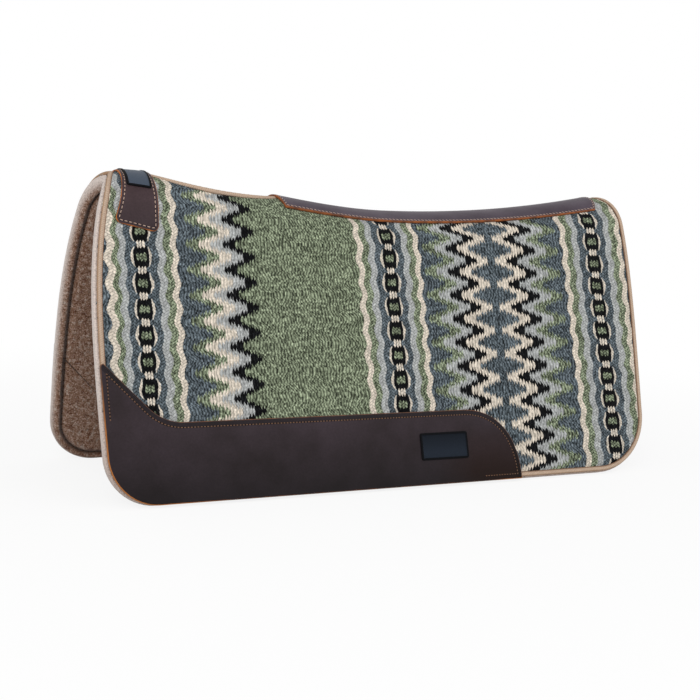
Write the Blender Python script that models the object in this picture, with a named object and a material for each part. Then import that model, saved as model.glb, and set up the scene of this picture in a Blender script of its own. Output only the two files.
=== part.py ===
"""Contoured western saddle pad: two thick felt halves under a woven wool top, with braid and leather.

The pad stands as it hangs over a horse's back. X runs along the spine with the withers at -X,
the near side is -Y, +Z is up, and the origin is the middle of the footprint, on the ground.

Every layer is placed on one curved skin, the outer face of the woven top. A place on that skin is
x along the spine, v up the flap from its bottom edge, and a depth in towards the horse.
"""
import math

import bmesh
import bpy
from mathutils import Vector

# The arch: flat flaps, leaning in, joined over the back by a round crown
FLAP_TILT = math.radians(16.4)
CROWN_RADIUS = 0.0567
WITHER_HEIGHT = 0.3818
SEAT_HEIGHT = 0.3435
LOIN_HEIGHT = 0.3792
WITHER_X = -0.350
SEAT_X = 0.030
LOIN_X = 0.387

# The outline of one flap
FRONT_FOOT_X = -0.3891
FRONT_LEAN = 0.0149
FRONT_CUTBACK = 0.0466
REAR_FOOT_X = 0.3863
REAR_LEAN = 0.0256
REAR_TUCK = 0.0252
FRONT_CORNER_RADIUS = 0.060
REAR_CORNER_RADIUS = 0.085

# The layers
TOP_THICKNESS = 0.0040
FELT_THICKNESS = 0.0180
LEATHER_THICKNESS = 0.0030
TAB_THICKNESS = 0.0020
LABEL_THICKNESS = 0.0012
LAYER_GAP = 0.0007
LEATHER_GAP = 0.0005
SEAM_GAP = 0.0003

# The felt's edge: a soft outer round, a flat to stand on, and an inner roll that ends at a sewn channel
OUTER_ROUND = 0.0025
INNER_ROLL = 0.0030
FOOT_FLAT = 0.0060
CHANNEL_INSET = 0.0120
CHANNEL_HALF_WIDTH = 0.0015
CHANNEL_DEPTH = 0.0020

# The braid that covers the cut edge of the woven top
BRAID_INSET = 0.0020
BRAID_WIDTH = 0.0065
BRAID_GAP = 0.0004
BRAID_VALLEY = 0.0012

# The open vent behind the withers
VENT_X = -0.2225
VENT_HALF_LENGTH = 0.0825
VENT_HALF_WIDTH = 0.030

# The wear leathers low on the flaps
WEAR_EDGE_INSET = 0.0022
WEAR_FOOT_INSET = -0.0006
WEAR_TIP_HEIGHT = 0.166
WEAR_TIP_ROUND = 0.004
WEAR_HEIGHT = 0.0945
WEAR_SLOPE = math.radians(46.6)
WEAR_FILLET = 0.058
WEAR_CURVE_X = 0.086
WEAR_END_X = 0.171
WEAR_CURVE_POWER = 2.3

# The leather along the spine, with bowed ends
SPINE_LEATHER_FRONT_X = -0.141
SPINE_LEATHER_REAR_INSET = 0.0207
SPINE_LEATHER_HALF_WIDTH = 0.0425
SPINE_LEATHER_FRONT_BOW = 0.006
SPINE_LEATHER_REAR_BOW = 0.012

# The leather tab over the withers, which flares towards its two ends
WITHER_TAB_SETBACK = 0.0294
WITHER_TAB_DROP = 0.102
WITHER_TAB_HALF_WIDTH = 0.0215
WITHER_TAB_FLARE = 0.0055
WITHER_TAB_SWEEP = 0.0090
WITHER_TAB_ROUND = 0.009

# The bare labels
WITHER_LABEL_DROP = 0.048
WITHER_LABEL_HALF_WIDTH = 0.0175
WEAR_LABEL_X = 0.0552
WEAR_LABEL_FOOT = 0.0312
WEAR_LABEL_LENGTH = 0.0706
WEAR_LABEL_HEIGHT = 0.0350
LABEL_FRAME = 0.0030
LABEL_RECESS = 0.0005

# How finely the curves are divided
CORNER_STEPS = 6
FLAP_STEPS = 4
CROWN_STEPS = 8
FRONT_COLUMNS = 2
VENT_COLUMNS = 14
REAR_COLUMNS = 14
SPINE_LEATHER_COLUMNS = 20
SPINE_LEATHER_ROWS = 12
WITHER_TAB_COLUMNS = 4
WITHER_TAB_ROWS = 22
WITHER_TAB_END_ROWS = 4
CURVE_STEPS = 8
TIP_STEPS = 3
REAR_CURVE_STEPS = 16
BRAID_COLUMN_STEP = 3
WITHER_LABEL_ROWS = 12
SHARP_ANGLE = math.radians(35.0)
OUTLINE_SAMPLES = 200

# Sizes that follow from the ones above
SIN_TILT = math.sin(FLAP_TILT)
COS_TILT = math.cos(FLAP_TILT)
CROWN_RISE = (1.0 - SIN_TILT) / COS_TILT
FOOT_HALF_SPREAD = WITHER_HEIGHT * math.tan(FLAP_TILT) + CROWN_RADIUS * CROWN_RISE
FELT_OUTER = TOP_THICKNESS + LAYER_GAP
FELT_INNER = FELT_OUTER + FELT_THICKNESS
FOOT_DEPTH = FELT_INNER - INNER_ROLL - FOOT_FLAT
LIFT = FOOT_DEPTH * SIN_TILT
BRAID_END = BRAID_INSET + BRAID_WIDTH
TOP_INSET = BRAID_END + BRAID_GAP
LEATHER_UNDER = -LEATHER_GAP
LEATHER_FACE = LEATHER_UNDER - LEATHER_THICKNESS
TAB_FACE = LEATHER_UNDER - TAB_THICKNESS

NEAR = -1
FAR = 1

FELT_BROWN = (0.30, 0.23, 0.19)
WOOL_GREEN = (0.21, 0.28, 0.14)
BRAID_TAN = (0.61, 0.43, 0.26)
WEAR_BROWN = (0.035, 0.022, 0.024)
SPINE_BROWN = (0.085, 0.052, 0.055)
TAB_BROWN = (0.075, 0.045, 0.042)
LABEL_BLACK = (0.020, 0.022, 0.026)


def clear_scene():
    """Start from an empty scene."""
    for obj in list(bpy.data.objects):
        bpy.data.objects.remove(obj, do_unlink=True)


def plain_material(name, colour, roughness):
    """One non-metal material."""
    mat = bpy.data.materials.new(name)
    mat.use_nodes = True
    shader = mat.node_tree.nodes["Principled BSDF"]
    shader.inputs["Base Color"].default_value = (*colour, 1.0)
    shader.inputs["Roughness"].default_value = roughness
    shader.inputs["Metallic"].default_value = 0.0
    return mat


def add_piece(name, points, faces, mat):
    """Make one named object from points and faces, with all its faces turned outwards."""
    shape = bmesh.new()
    corners = [shape.verts.new(point) for point in points]
    for face in faces:
        shape.faces.new([corners[i] for i in face])
    bmesh.ops.recalc_face_normals(shape, faces=shape.faces)
    mesh = bpy.data.meshes.new(name)
    shape.to_mesh(mesh)
    shape.free()
    mesh.shade_smooth()
    mesh.set_sharp_from_angle(angle=SHARP_ANGLE)
    mesh.materials.append(mat)
    obj = bpy.data.objects.new(name, mesh)
    bpy.context.collection.objects.link(obj)
    return obj


def spine_height(x):
    """Height of the skin's crown above the flap's bottom edge: withers, seat dip, rising loin."""
    if x < SEAT_X:
        t = min((SEAT_X - x) / (SEAT_X - WITHER_X), 1.0)
        return SEAT_HEIGHT + (WITHER_HEIGHT - SEAT_HEIGHT) * t * t * (3.0 - 2.0 * t)
    return SEAT_HEIGHT + (LOIN_HEIGHT - SEAT_HEIGHT) * ((x - SEAT_X) / (LOIN_X - SEAT_X)) ** 2


def crown_radius(x):
    """Radius of the crown that is tangent to both flaps at this height."""
    return (FOOT_HALF_SPREAD - spine_height(x) * math.tan(FLAP_TILT)) / CROWN_RISE


def crown_start(x):
    """Length up the flat flap to where the crown begins."""
    return (spine_height(x) - crown_radius(x) * (1.0 - SIN_TILT)) / COS_TILT


def spine_length(x):
    """Length up the skin from the bottom edge to the spine."""
    return crown_start(x) + crown_radius(x) * (math.pi / 2.0 - FLAP_TILT)


def front_line(v):
    """Front edge of the flap above its corner: it leans forward, then cuts back to the withers."""
    s = v / spine_length(FRONT_FOOT_X)
    return FRONT_FOOT_X - FRONT_LEAN * s + FRONT_CUTBACK * s ** 4


def rear_line(v):
    """Rear edge of the flap above its corner."""
    s = v / spine_length(REAR_FOOT_X)
    return REAR_FOOT_X + REAR_LEAN * s - REAR_TUCK * s ** 5


def footprint_middle():
    """Middle of the outline along X, which becomes the origin."""
    reach = spine_length(FRONT_FOOT_X) / OUTLINE_SAMPLES
    samples = [i * reach for i in range(OUTLINE_SAMPLES + 1)]
    front = min(front_line(v) for v in samples)
    rear = max(rear_line(v) for v in samples)
    return (front + rear) / 2.0


MIDDLE_X = footprint_middle()
WITHER_TAB_X = front_line(spine_length(FRONT_FOOT_X)) + WITHER_TAB_SETBACK
SPINE_LEATHER_REAR_X = rear_line(spine_length(REAR_FOOT_X)) - SPINE_LEATHER_REAR_INSET


def skin_point(x, v, depth, side, seam=SEAM_GAP):
    """A point at x, v up the skin and depth inside it, on one side of the pad."""
    radius = crown_radius(x)
    start = crown_start(x)
    if v <= start:
        angle = FLAP_TILT
        y = FOOT_HALF_SPREAD - v * SIN_TILT
        z = v * COS_TILT
    else:
        angle = FLAP_TILT + (v - start) / radius
        y = radius * math.cos(angle)
        z = spine_height(x) - radius + radius * math.sin(angle)
    y += seam / 2.0 - depth * math.cos(angle)
    z += LIFT - depth * math.sin(angle)
    return Vector((x - MIDDLE_X, side * y, z))


def spine_point(x, w, depth):
    """A point at x and w across the spine, positive to the near side, for pieces that cross it."""
    side = NEAR if w > 0.0 else FAR
    return skin_point(x, spine_length(x) - abs(w), depth, side, seam=0.0)


def vent_half_width(x, margin):
    """Half width of the vent, grown by a margin, at x; zero beyond its ends."""
    t = (x - VENT_X) / (VENT_HALF_LENGTH + margin)
    if abs(t) >= 1.0:
        return 0.0
    return (VENT_HALF_WIDTH + margin) * math.sqrt(1.0 - t * t)


def column_places(margin):
    """Places along the spine of the columns of a flap, closest together round the vent."""
    front = front_line(spine_length(FRONT_FOOT_X))
    rear = rear_line(spine_length(REAR_FOOT_X))
    vent_front = VENT_X - VENT_HALF_LENGTH - margin
    vent_rear = VENT_X + VENT_HALF_LENGTH + margin
    half = VENT_HALF_LENGTH + margin
    places = [front + (vent_front - front) * i / FRONT_COLUMNS for i in range(FRONT_COLUMNS)]
    places += [VENT_X - half * math.cos(math.pi * i / VENT_COLUMNS) for i in range(VENT_COLUMNS)]
    places += [vent_rear + (rear - vent_rear) * i / REAR_COLUMNS for i in range(REAR_COLUMNS + 1)]
    return places


def edge_x(row, inset, line, sign):
    """Front or rear edge of a flap at a row, set in by inset, round its bottom corner."""
    radius = FRONT_CORNER_RADIUS if sign > 0 else REAR_CORNER_RADIUS
    if row < CORNER_STEPS:
        centre = line(radius) + sign * radius
        turn = math.pi / 2.0 * row / CORNER_STEPS
        return centre - sign * (radius - inset) * math.sin(turn)
    foot = FRONT_FOOT_X if sign > 0 else REAR_FOOT_X
    return line(row_height(row, inset, foot, spine_length(foot), radius)) + sign * inset


def row_height(row, inset, x, top, radius):
    """Length up the skin of a row: round a corner of this radius, up the flat flap, then over the crown."""
    if row < CORNER_STEPS:
        turn = math.pi / 2.0 * row / CORNER_STEPS
        return radius - (radius - inset) * math.cos(turn)
    start = min(crown_start(x), top)
    if row <= CORNER_STEPS + FLAP_STEPS:
        t = (row - CORNER_STEPS) / FLAP_STEPS
        return radius + t * (start - radius)
    t = (row - CORNER_STEPS - FLAP_STEPS) / CROWN_STEPS
    return start + t * (top - start)


ROWS = CORNER_STEPS + FLAP_STEPS + CROWN_STEPS


def flap_place(column, row, places, inset, margin):
    """The x and v of a grid point of a flap whose outline is set in by inset."""
    last = len(places) - 1
    t = (places[column] - places[0]) / (places[-1] - places[0])
    if column in (0, last):
        line, sign = (front_line, 1) if column == 0 else (rear_line, -1)
        x = edge_x(row, inset, line, sign)
    else:
        front = edge_x(row, 0.0, front_line, 1)
        rear = edge_x(row, 0.0, rear_line, -1)
        x = front + t * (rear - front)
    at_top = places[column] if 0 < column < last else x
    top = spine_length(x) - vent_half_width(at_top, margin)
    radius = FRONT_CORNER_RADIUS + t * (REAR_CORNER_RADIUS - FRONT_CORNER_RADIUS)
    return x, row_height(row, inset, x, top, radius)


def edge_run(places):
    """Grid points down the front edge, along the bottom and up the rear edge."""
    last = len(places) - 1
    run = [(0, row) for row in range(ROWS, 0, -1)]
    run += [(column, 0) for column in range(last + 1)]
    run += [(last, row) for row in range(1, ROWS + 1)]
    return run


def flap_solid(name, side, rings, margin, mat):
    """One closed flap layer: an outer grid, an inner grid, and rings of (inset, depth) round the rim."""
    places = column_places(margin)
    run = edge_run(places)
    points = []
    index = {}

    def vertex(level, column, row):
        key = (level, column, row)
        if key not in index:
            inset, depth = rings[level]
            x, v = flap_place(column, row, places, inset, margin)
            index[key] = len(points)
            points.append(skin_point(x, v, depth, side))
        return index[key]

    faces = []
    inner = len(rings) - 1
    columns = len(places) - 1
    for column in range(columns):
        for row in range(ROWS):
            ring = ((column, row), (column + 1, row), (column + 1, row + 1), (column, row + 1))
            faces.append(tuple(vertex(0, *corner) for corner in ring))
            faces.append(tuple(vertex(inner, *corner) for corner in reversed(ring)))
        faces.append((vertex(0, column, ROWS), vertex(0, column + 1, ROWS),
                      vertex(inner, column + 1, ROWS), vertex(inner, column, ROWS)))
    for level in range(inner):
        for here, there in zip(run, run[1:]):
            faces.append((vertex(level, *there), vertex(level, *here),
                          vertex(level + 1, *here), vertex(level + 1, *there)))
    if inner > 1:
        faces.append(tuple(vertex(level, 0, ROWS) for level in range(inner, -1, -1)))
        faces.append(tuple(vertex(level, columns, ROWS) for level in range(inner + 1)))
    return add_piece(name, points, faces, mat)


def swept_solid(name, rings, mat):
    """A closed solid swept through rings of points, with flat caps."""
    count = len(rings[0])
    points = [point for ring in rings for point in ring]
    faces = [tuple(range(count - 1, -1, -1))]
    for step in range(len(rings) - 1):
        low = step * count
        for i in range(count):
            j = (i + 1) % count
            faces.append((low + i, low + j, low + count + j, low + count + i))
    faces.append(tuple(range(len(points) - count, len(points))))
    return add_piece(name, points, faces, mat)


def slab_solid(name, grid, mat):
    """A closed slab from a grid of (face point, underside point) pairs, in columns of rows."""
    columns = len(grid)
    rows = len(grid[0])
    points = [pair[level] for level in (0, 1) for column in grid for pair in column]
    under = columns * rows

    def vertex(level, column, row):
        return level * under + column * rows + row

    faces = []
    for c in range(columns - 1):
        for r in range(rows - 1):
            ring = ((c, r), (c + 1, r), (c + 1, r + 1), (c, r + 1))
            faces.append(tuple(vertex(0, *corner) for corner in ring))
            faces.append(tuple(vertex(1, *corner) for corner in reversed(ring)))
    rim = [(c, 0) for c in range(columns - 1)] + [(columns - 1, r) for r in range(rows - 1)]
    rim += [(c, rows - 1) for c in range(columns - 1, 0, -1)] + [(0, r) for r in range(rows - 1, 0, -1)]
    for here, there in zip(rim, rim[1:] + rim[:1]):
        faces.append((vertex(0, *there), vertex(0, *here), vertex(1, *here), vertex(1, *there)))
    return add_piece(name, points, faces, mat)


def felt_half(side, name, mat):
    """Thick wool felt, rounded at its edge, with the sewn channel round its underside."""
    flat_inset = FOOT_FLAT * math.tan(FLAP_TILT)
    shoulder_out = CHANNEL_INSET - CHANNEL_HALF_WIDTH
    shoulder_in = CHANNEL_INSET + CHANNEL_HALF_WIDTH
    rings = [
        (OUTER_ROUND, FELT_OUTER),
        (0.0, FELT_OUTER + OUTER_ROUND),
        (0.0, FOOT_DEPTH),
        (flat_inset, FOOT_DEPTH + FOOT_FLAT),
        (shoulder_out, FELT_INNER),
        (CHANNEL_INSET, FELT_INNER - CHANNEL_DEPTH),
        (shoulder_in, FELT_INNER),
    ]
    return flap_solid(name, side, rings, 0.0, mat)


def woven_top_half(side, name, mat):
    """The woven wool top, which stops where the braid begins."""
    rings = [(TOP_INSET, 0.0), (TOP_INSET, TOP_THICKNESS)]
    return flap_solid(name, side, rings, TOP_INSET, mat)


def braid_profile():
    """Section of the two-ridged braid as (distance in from the edge, depth)."""
    middle = BRAID_INSET + BRAID_WIDTH / 2.0
    quarter = BRAID_WIDTH / 4.0
    return [
        (BRAID_INSET, TOP_THICKNESS),
        (BRAID_INSET, BRAID_VALLEY),
        (BRAID_INSET + quarter, 0.0),
        (middle, BRAID_VALLEY),
        (BRAID_END - quarter, 0.0),
        (BRAID_END, BRAID_VALLEY),
        (BRAID_END, TOP_THICKNESS),
    ]


def edge_braid(side, name, mat):
    """The braid down the front edge, round the bottom and up the rear edge of one half."""
    places = column_places(0.0)
    run = [(0, row) for row in range(ROWS, 0, -1)]
    run += [(column, 0) for column in range(0, len(places), BRAID_COLUMN_STEP)]
    run += [(len(places) - 1, row) for row in range(0, ROWS + 1)]
    rings = []
    for column, row in run:
        ring = []
        for inset, depth in braid_profile():
            x, v = flap_place(column, row, places, inset, 0.0)
            ring.append(skin_point(x, v, depth, side))
        rings.append(ring)
    return swept_solid(name, rings, mat)


def vent_braid(side, name, mat):
    """The braid round one half of the vent."""
    rings = []
    for step in range(VENT_COLUMNS + 1):
        turn = math.pi * step / VENT_COLUMNS
        ring = []
        for margin, depth in braid_profile():
            x = VENT_X - (VENT_HALF_LENGTH + margin) * math.cos(turn)
            v = spine_length(x) - (VENT_HALF_WIDTH + margin) * math.sin(turn)
            ring.append(skin_point(x, v, depth, side))
        rings.append(ring)
    return swept_solid(name, rings, mat)


def wear_outline():
    """Outline of a wear leather as (x, v), round the bottom from the rear end to the front tip and back."""
    radius = FRONT_CORNER_RADIUS
    inner = radius - WEAR_EDGE_INSET
    centre = front_line(radius) + radius
    outline = [(WEAR_END_X, WEAR_FOOT_INSET), (centre, WEAR_FOOT_INSET)]
    for step in range(1, CURVE_STEPS + 1):
        turn = math.pi / 2.0 * step / CURVE_STEPS
        drop = (radius - WEAR_FOOT_INSET) * math.cos(turn)
        outline.append((centre - inner * math.sin(turn), radius - drop))
    tip_foot = WEAR_TIP_HEIGHT - WEAR_TIP_ROUND
    for step in range(1, CURVE_STEPS + 1):
        v = radius + (tip_foot - radius) * step / CURVE_STEPS
        outline.append((front_line(v) + WEAR_EDGE_INSET, v))
    tip_x = front_line(tip_foot) + WEAR_EDGE_INSET + WEAR_TIP_ROUND
    for step in range(1, TIP_STEPS + 1):
        turn = math.pi / 2.0 * step / TIP_STEPS
        outline.append((tip_x - WEAR_TIP_ROUND * math.cos(turn), tip_foot + WEAR_TIP_ROUND * math.sin(turn)))
    meet_x = tip_x + (WEAR_TIP_HEIGHT - WEAR_HEIGHT) / math.tan(WEAR_SLOPE)
    fillet_end = meet_x + WEAR_FILLET * math.tan(WEAR_SLOPE / 2.0)
    for step in range(CURVE_STEPS + 1):
        turn = WEAR_SLOPE * (1.0 - step / CURVE_STEPS)
        rise = WEAR_FILLET * (1.0 - math.cos(turn))
        outline.append((fillet_end - WEAR_FILLET * math.sin(turn), WEAR_HEIGHT + rise))
    for step in range(REAR_CURVE_STEPS):
        turn = math.pi / 2.0 * step / REAR_CURVE_STEPS
        x = WEAR_CURVE_X + (WEAR_END_X - WEAR_CURVE_X) * math.sin(turn) ** (2.0 / WEAR_CURVE_POWER)
        rise = (WEAR_HEIGHT - WEAR_FOOT_INSET) * math.cos(turn) ** (2.0 / WEAR_CURVE_POWER)
        outline.append((x, WEAR_FOOT_INSET + rise))
    return outline


def wear_leather(side, name, mat):
    """The leather that takes the rub low on one flap."""
    outline = wear_outline()
    rings = [[skin_point(x, v, depth, side) for x, v in outline] for depth in (LEATHER_FACE, LEATHER_UNDER)]
    return swept_solid(name, rings, mat)


def spine_leather(name, mat):
    """The long leather over the spine seam."""
    grid = []
    for column in range(SPINE_LEATHER_COLUMNS + 1):
        line = []
        for row in range(SPINE_LEATHER_ROWS + 1):
            share = 1.0 - 2.0 * row / SPINE_LEATHER_ROWS
            w = SPINE_LEATHER_HALF_WIDTH * share
            front = SPINE_LEATHER_FRONT_X + SPINE_LEATHER_FRONT_BOW * share ** 2
            rear = SPINE_LEATHER_REAR_X - SPINE_LEATHER_REAR_BOW * share ** 2
            x = front + (rear - front) * column / SPINE_LEATHER_COLUMNS
            line.append((spine_point(x, w, LEATHER_FACE), spine_point(x, w, LEATHER_UNDER)))
        grid.append(line)
    return slab_solid(name, grid, mat)


def wither_tab_rows():
    """Places across the spine of the tab's rows, closest together at its rounded ends."""
    body = WITHER_TAB_DROP - WITHER_TAB_ROUND
    ends = [body + WITHER_TAB_ROUND * math.sin(math.pi / 2.0 * i / WITHER_TAB_END_ROWS)
            for i in range(1, WITHER_TAB_END_ROWS + 1)]
    middle = [body - 2.0 * body * i / WITHER_TAB_ROWS for i in range(WITHER_TAB_ROWS + 1)]
    return list(reversed(ends)) + middle + [-w for w in ends]


def wither_tab_half(w):
    """Half width of the tab at w across the spine, round its ends."""
    half = WITHER_TAB_HALF_WIDTH + WITHER_TAB_FLARE * (w / WITHER_TAB_DROP) ** 2
    past = abs(w) - (WITHER_TAB_DROP - WITHER_TAB_ROUND)
    if past > 0.0:
        half -= WITHER_TAB_ROUND - math.sqrt(max(WITHER_TAB_ROUND ** 2 - past ** 2, 0.0))
    return half


def wither_tab_place(w, offset):
    """The x and w of a place offset from the tab's middle line, square to the line as it sweeps forward."""
    reach = w / WITHER_TAB_DROP
    lean = 2.0 * WITHER_TAB_SWEEP * reach / WITHER_TAB_DROP
    return WITHER_TAB_X - WITHER_TAB_SWEEP * reach ** 2 + offset, w + lean * offset


def wither_patch(name, mat):
    """The leather tab over the withers."""
    grid = []
    for column in range(WITHER_TAB_COLUMNS + 1):
        across = 2.0 * column / WITHER_TAB_COLUMNS - 1.0
        line = []
        for row in wither_tab_rows():
            x, w = wither_tab_place(row, across * wither_tab_half(row))
            line.append((spine_point(x, w, TAB_FACE), spine_point(x, w, LEATHER_UNDER)))
        grid.append(line)
    return slab_solid(name, grid, mat)


def wither_label(name, mat):
    """The bare label over the top of the wither tab, with a raised frame."""
    edges = [-WITHER_LABEL_HALF_WIDTH, -WITHER_LABEL_HALF_WIDTH + LABEL_FRAME]
    across = edges + [-edge for edge in reversed(edges)]
    inner = WITHER_LABEL_DROP - LABEL_FRAME
    rows = [inner - 2.0 * inner * i / WITHER_LABEL_ROWS for i in range(WITHER_LABEL_ROWS + 1)]
    rows = [WITHER_LABEL_DROP] + rows + [-WITHER_LABEL_DROP]
    under = TAB_FACE - LEATHER_GAP
    grid = []
    for column, offset in enumerate(across):
        line = []
        for row, middle_w in enumerate(rows):
            on_frame = column in (0, len(across) - 1) or row in (0, len(rows) - 1)
            face = under - LABEL_THICKNESS + (0.0 if on_frame else LABEL_RECESS)
            x, w = wither_tab_place(middle_w, offset)
            line.append((spine_point(x, w, face), spine_point(x, w, under)))
        grid.append(line)
    return slab_solid(name, grid, mat)


def wear_label(name, mat):
    """The bare label low on the near wear leather, with a raised frame."""
    left = WEAR_LABEL_X - WEAR_LABEL_LENGTH / 2.0
    right = WEAR_LABEL_X + WEAR_LABEL_LENGTH / 2.0
    top = WEAR_LABEL_FOOT + WEAR_LABEL_HEIGHT
    columns = (left, left + LABEL_FRAME, right - LABEL_FRAME, right)
    rows = (WEAR_LABEL_FOOT, WEAR_LABEL_FOOT + LABEL_FRAME, top - LABEL_FRAME, top)
    under = LEATHER_FACE - LEATHER_GAP
    grid = []
    for column, x in enumerate(columns):
        line = []
        for row, v in enumerate(rows):
            on_frame = column in (0, 3) or row in (0, 3)
            face = under - LABEL_THICKNESS + (0.0 if on_frame else LABEL_RECESS)
            line.append((skin_point(x, v, face, NEAR), skin_point(x, v, under, NEAR)))
        grid.append(line)
    return slab_solid(name, grid, mat)


def main():
    """Build the pad: two mirrored halves, then the pieces that cross the spine."""
    clear_scene()
    felt = plain_material("wool_felt", FELT_BROWN, 0.95)
    wool = plain_material("woven_wool", WOOL_GREEN, 0.90)
    braid = plain_material("tan_braid", BRAID_TAN, 0.85)
    wear = plain_material("wear_leather", WEAR_BROWN, 0.42)
    spine = plain_material("spine_leather", SPINE_BROWN, 0.48)
    tab = plain_material("tab_leather", TAB_BROWN, 0.48)
    label = plain_material("label_rubber", LABEL_BLACK, 0.55)
    for side, name in ((NEAR, "near"), (FAR, "far")):
        felt_half(side, "felt_" + name, felt)
        woven_top_half(side, "woven_top_" + name, wool)
        edge_braid(side, "edge_braid_" + name, braid)
        vent_braid(side, "vent_braid_" + name, braid)
        wear_leather(side, "wear_leather_" + name, wear)
    spine_leather("spine_leather", spine)
    wither_patch("wither_patch", tab)
    wither_label("wither_label", label)
    wear_label("wear_label", label)


main()
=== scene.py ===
"""Dress the saddle pad: woven wool over felt, bound edges, oiled leather and thread, in a pale studio.

Every layer lies on one curved skin, the outer face of the woven top, as the pad's solids do. A place on
it is x along the spine, v up the flap from its bottom edge, and a depth in towards the horse.
"""
from __future__ import annotations

import logging
import math
from dataclasses import dataclass
from enum import Enum
from functools import cached_property, partial
from typing import Callable, Sequence

import bpy
import numpy as np
from mathutils import Matrix, Vector, noise

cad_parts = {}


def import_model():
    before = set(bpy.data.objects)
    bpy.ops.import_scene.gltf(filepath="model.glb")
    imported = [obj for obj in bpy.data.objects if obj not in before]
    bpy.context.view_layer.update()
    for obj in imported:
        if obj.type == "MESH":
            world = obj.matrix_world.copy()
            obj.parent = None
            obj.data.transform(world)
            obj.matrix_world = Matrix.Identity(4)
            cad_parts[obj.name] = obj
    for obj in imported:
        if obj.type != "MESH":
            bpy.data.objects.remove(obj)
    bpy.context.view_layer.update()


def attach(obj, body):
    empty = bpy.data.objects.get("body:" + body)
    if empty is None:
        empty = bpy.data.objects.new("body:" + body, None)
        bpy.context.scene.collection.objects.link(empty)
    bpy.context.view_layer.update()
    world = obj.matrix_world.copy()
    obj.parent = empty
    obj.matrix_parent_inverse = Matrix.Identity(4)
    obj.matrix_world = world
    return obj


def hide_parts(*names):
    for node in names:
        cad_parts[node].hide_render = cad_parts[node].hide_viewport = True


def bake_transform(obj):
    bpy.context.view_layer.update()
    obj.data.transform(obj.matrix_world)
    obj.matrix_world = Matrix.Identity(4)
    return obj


LOG = logging.getLogger("saddle_pad")
MM = 0.001

Array = np.ndarray
Tree = bpy.types.NodeTree
Node = bpy.types.Node
Socket = bpy.types.NodeSocket
Material = bpy.types.Material
Piece = bpy.types.Object
# Places along the spine, and lengths up the skin or across it
Places = tuple[Array, Array]
# Places and heights above the piece's own base, turned into points
Layer = Callable[[Array, Array, Array], Array]
# add_node for one node tree
Adder = Callable[..., Socket]


class Side(Enum):
    """The two flaps, with the sign of Y that each lies on."""

    NEAR = -1
    FAR = 1

    @property
    def word(self) -> str:
        """The side's word in the names of its pieces."""
        return self.name.lower()

    @property
    def body(self) -> str:
        """The body that the side's pieces ride on."""
        return f"{self.word}_half"


def smooth_step(low: float, high: float, value: Array) -> Array:
    """Rise smoothly from 0 at low to 1 at high.

    Args:
        low: Value at which the rise starts.
        high: Value at which it ends.
        value: Values to map.

    Returns:
        The share of the rise at each value.
    """
    t = np.clip((np.asarray(value, float) - low) / (high - low), 0.0, 1.0)
    return t * t * (3.0 - 2.0 * t)


def linear(code: str) -> tuple[float, float, float, float]:
    """Turn an sRGB hex colour into linear values.

    Args:
        code: Six hex digits with a leading #.

    Returns:
        Linear red, green, blue and an alpha of 1.
    """
    channels = [int(code[i:i + 2], 16) / 255.0 for i in (1, 3, 5)]
    low_or_power = [c / 12.92 if c <= 0.04045 else ((c + 0.055) / 1.055) ** 2.4 for c in channels]
    return (*low_or_power, 1.0)


def fill(node: Node, sockets: dict) -> None:
    """Set or link inputs of a shader node.

    Args:
        node: The node.
        sockets: Input names or numbers, each with a value or a socket to link from.
    """
    for key, value in sockets.items():
        if isinstance(value, Socket):
            node.id_data.links.new(value, node.inputs[key])
        else:
            node.inputs[key].default_value = value


def add_node(tree: Tree, kind: str, *values: object, stops: Sequence[tuple] = (), out: str = "",
             **named: object) -> Socket:
    """Add one shader node with its settings and links.

    Args:
        tree: Node tree to add to.
        kind: Node type without its ShaderNode prefix, and its operation after a colon.
        *values: Values or sockets for the inputs that the node uses, in order.
        stops: Positions and colours of a colour ramp.
        out: Name of the output, where it isn't the first that the node uses.
        **named: Inputs by their names, which start with a capital, and properties of the node.

    Returns:
        The output.
    """
    kind, _, operation = kind.partition(":")
    node = tree.nodes.new("ShaderNode" + kind)
    if operation:
        node.operation = operation
    for name, value in named.items():
        if name.islower():
            setattr(node, name, value)
    used = [number for number, socket in enumerate(node.inputs) if socket.enabled]
    fill(node, dict(zip(used, values)))
    fill(node, {name: value for name, value in named.items() if not name.islower()})
    for index, (place, colour) in enumerate(stops):
        ramp = node.color_ramp.elements
        stop = ramp[index] if index < len(ramp) else ramp.new(place)
        stop.position = place
        stop.color = colour
    return node.outputs[out] if out else next(socket for socket in node.outputs if socket.enabled)


def new_material(name: str) -> tuple[Material, Adder, Node]:
    """Start a material.

    Args:
        name: The real material's name.

    Returns:
        The material, the function that adds its nodes, and its Principled shader.
    """
    material = bpy.data.materials.new(name)
    material.use_nodes = True
    tree = material.node_tree
    return material, partial(add_node, tree), tree.nodes["Principled BSDF"]


def deselect() -> None:
    """Leave object mode with nothing selected."""
    if bpy.context.object is not None and bpy.context.object.mode != "OBJECT":
        bpy.ops.object.mode_set(mode="OBJECT")
    bpy.ops.object.select_all(action="DESELECT")


def mesh_piece(name: str, points: Array, faces: Sequence, materials: Sequence) -> Piece:
    """Make a smooth mesh object whose faces already point outwards.

    Args:
        name: The piece's name.
        points: Vertex positions.
        faces: Vertex numbers of each face.
        materials: The piece's material slots.

    Returns:
        The new object.
    """
    mesh = bpy.data.meshes.new(name)
    mesh.from_pydata(np.asarray(points).tolist(), [], faces)
    mesh.shade_smooth()
    for material in materials:
        mesh.materials.append(material)
    piece = bpy.data.objects.new(name, mesh)
    bpy.context.collection.objects.link(piece)
    return piece


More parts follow.
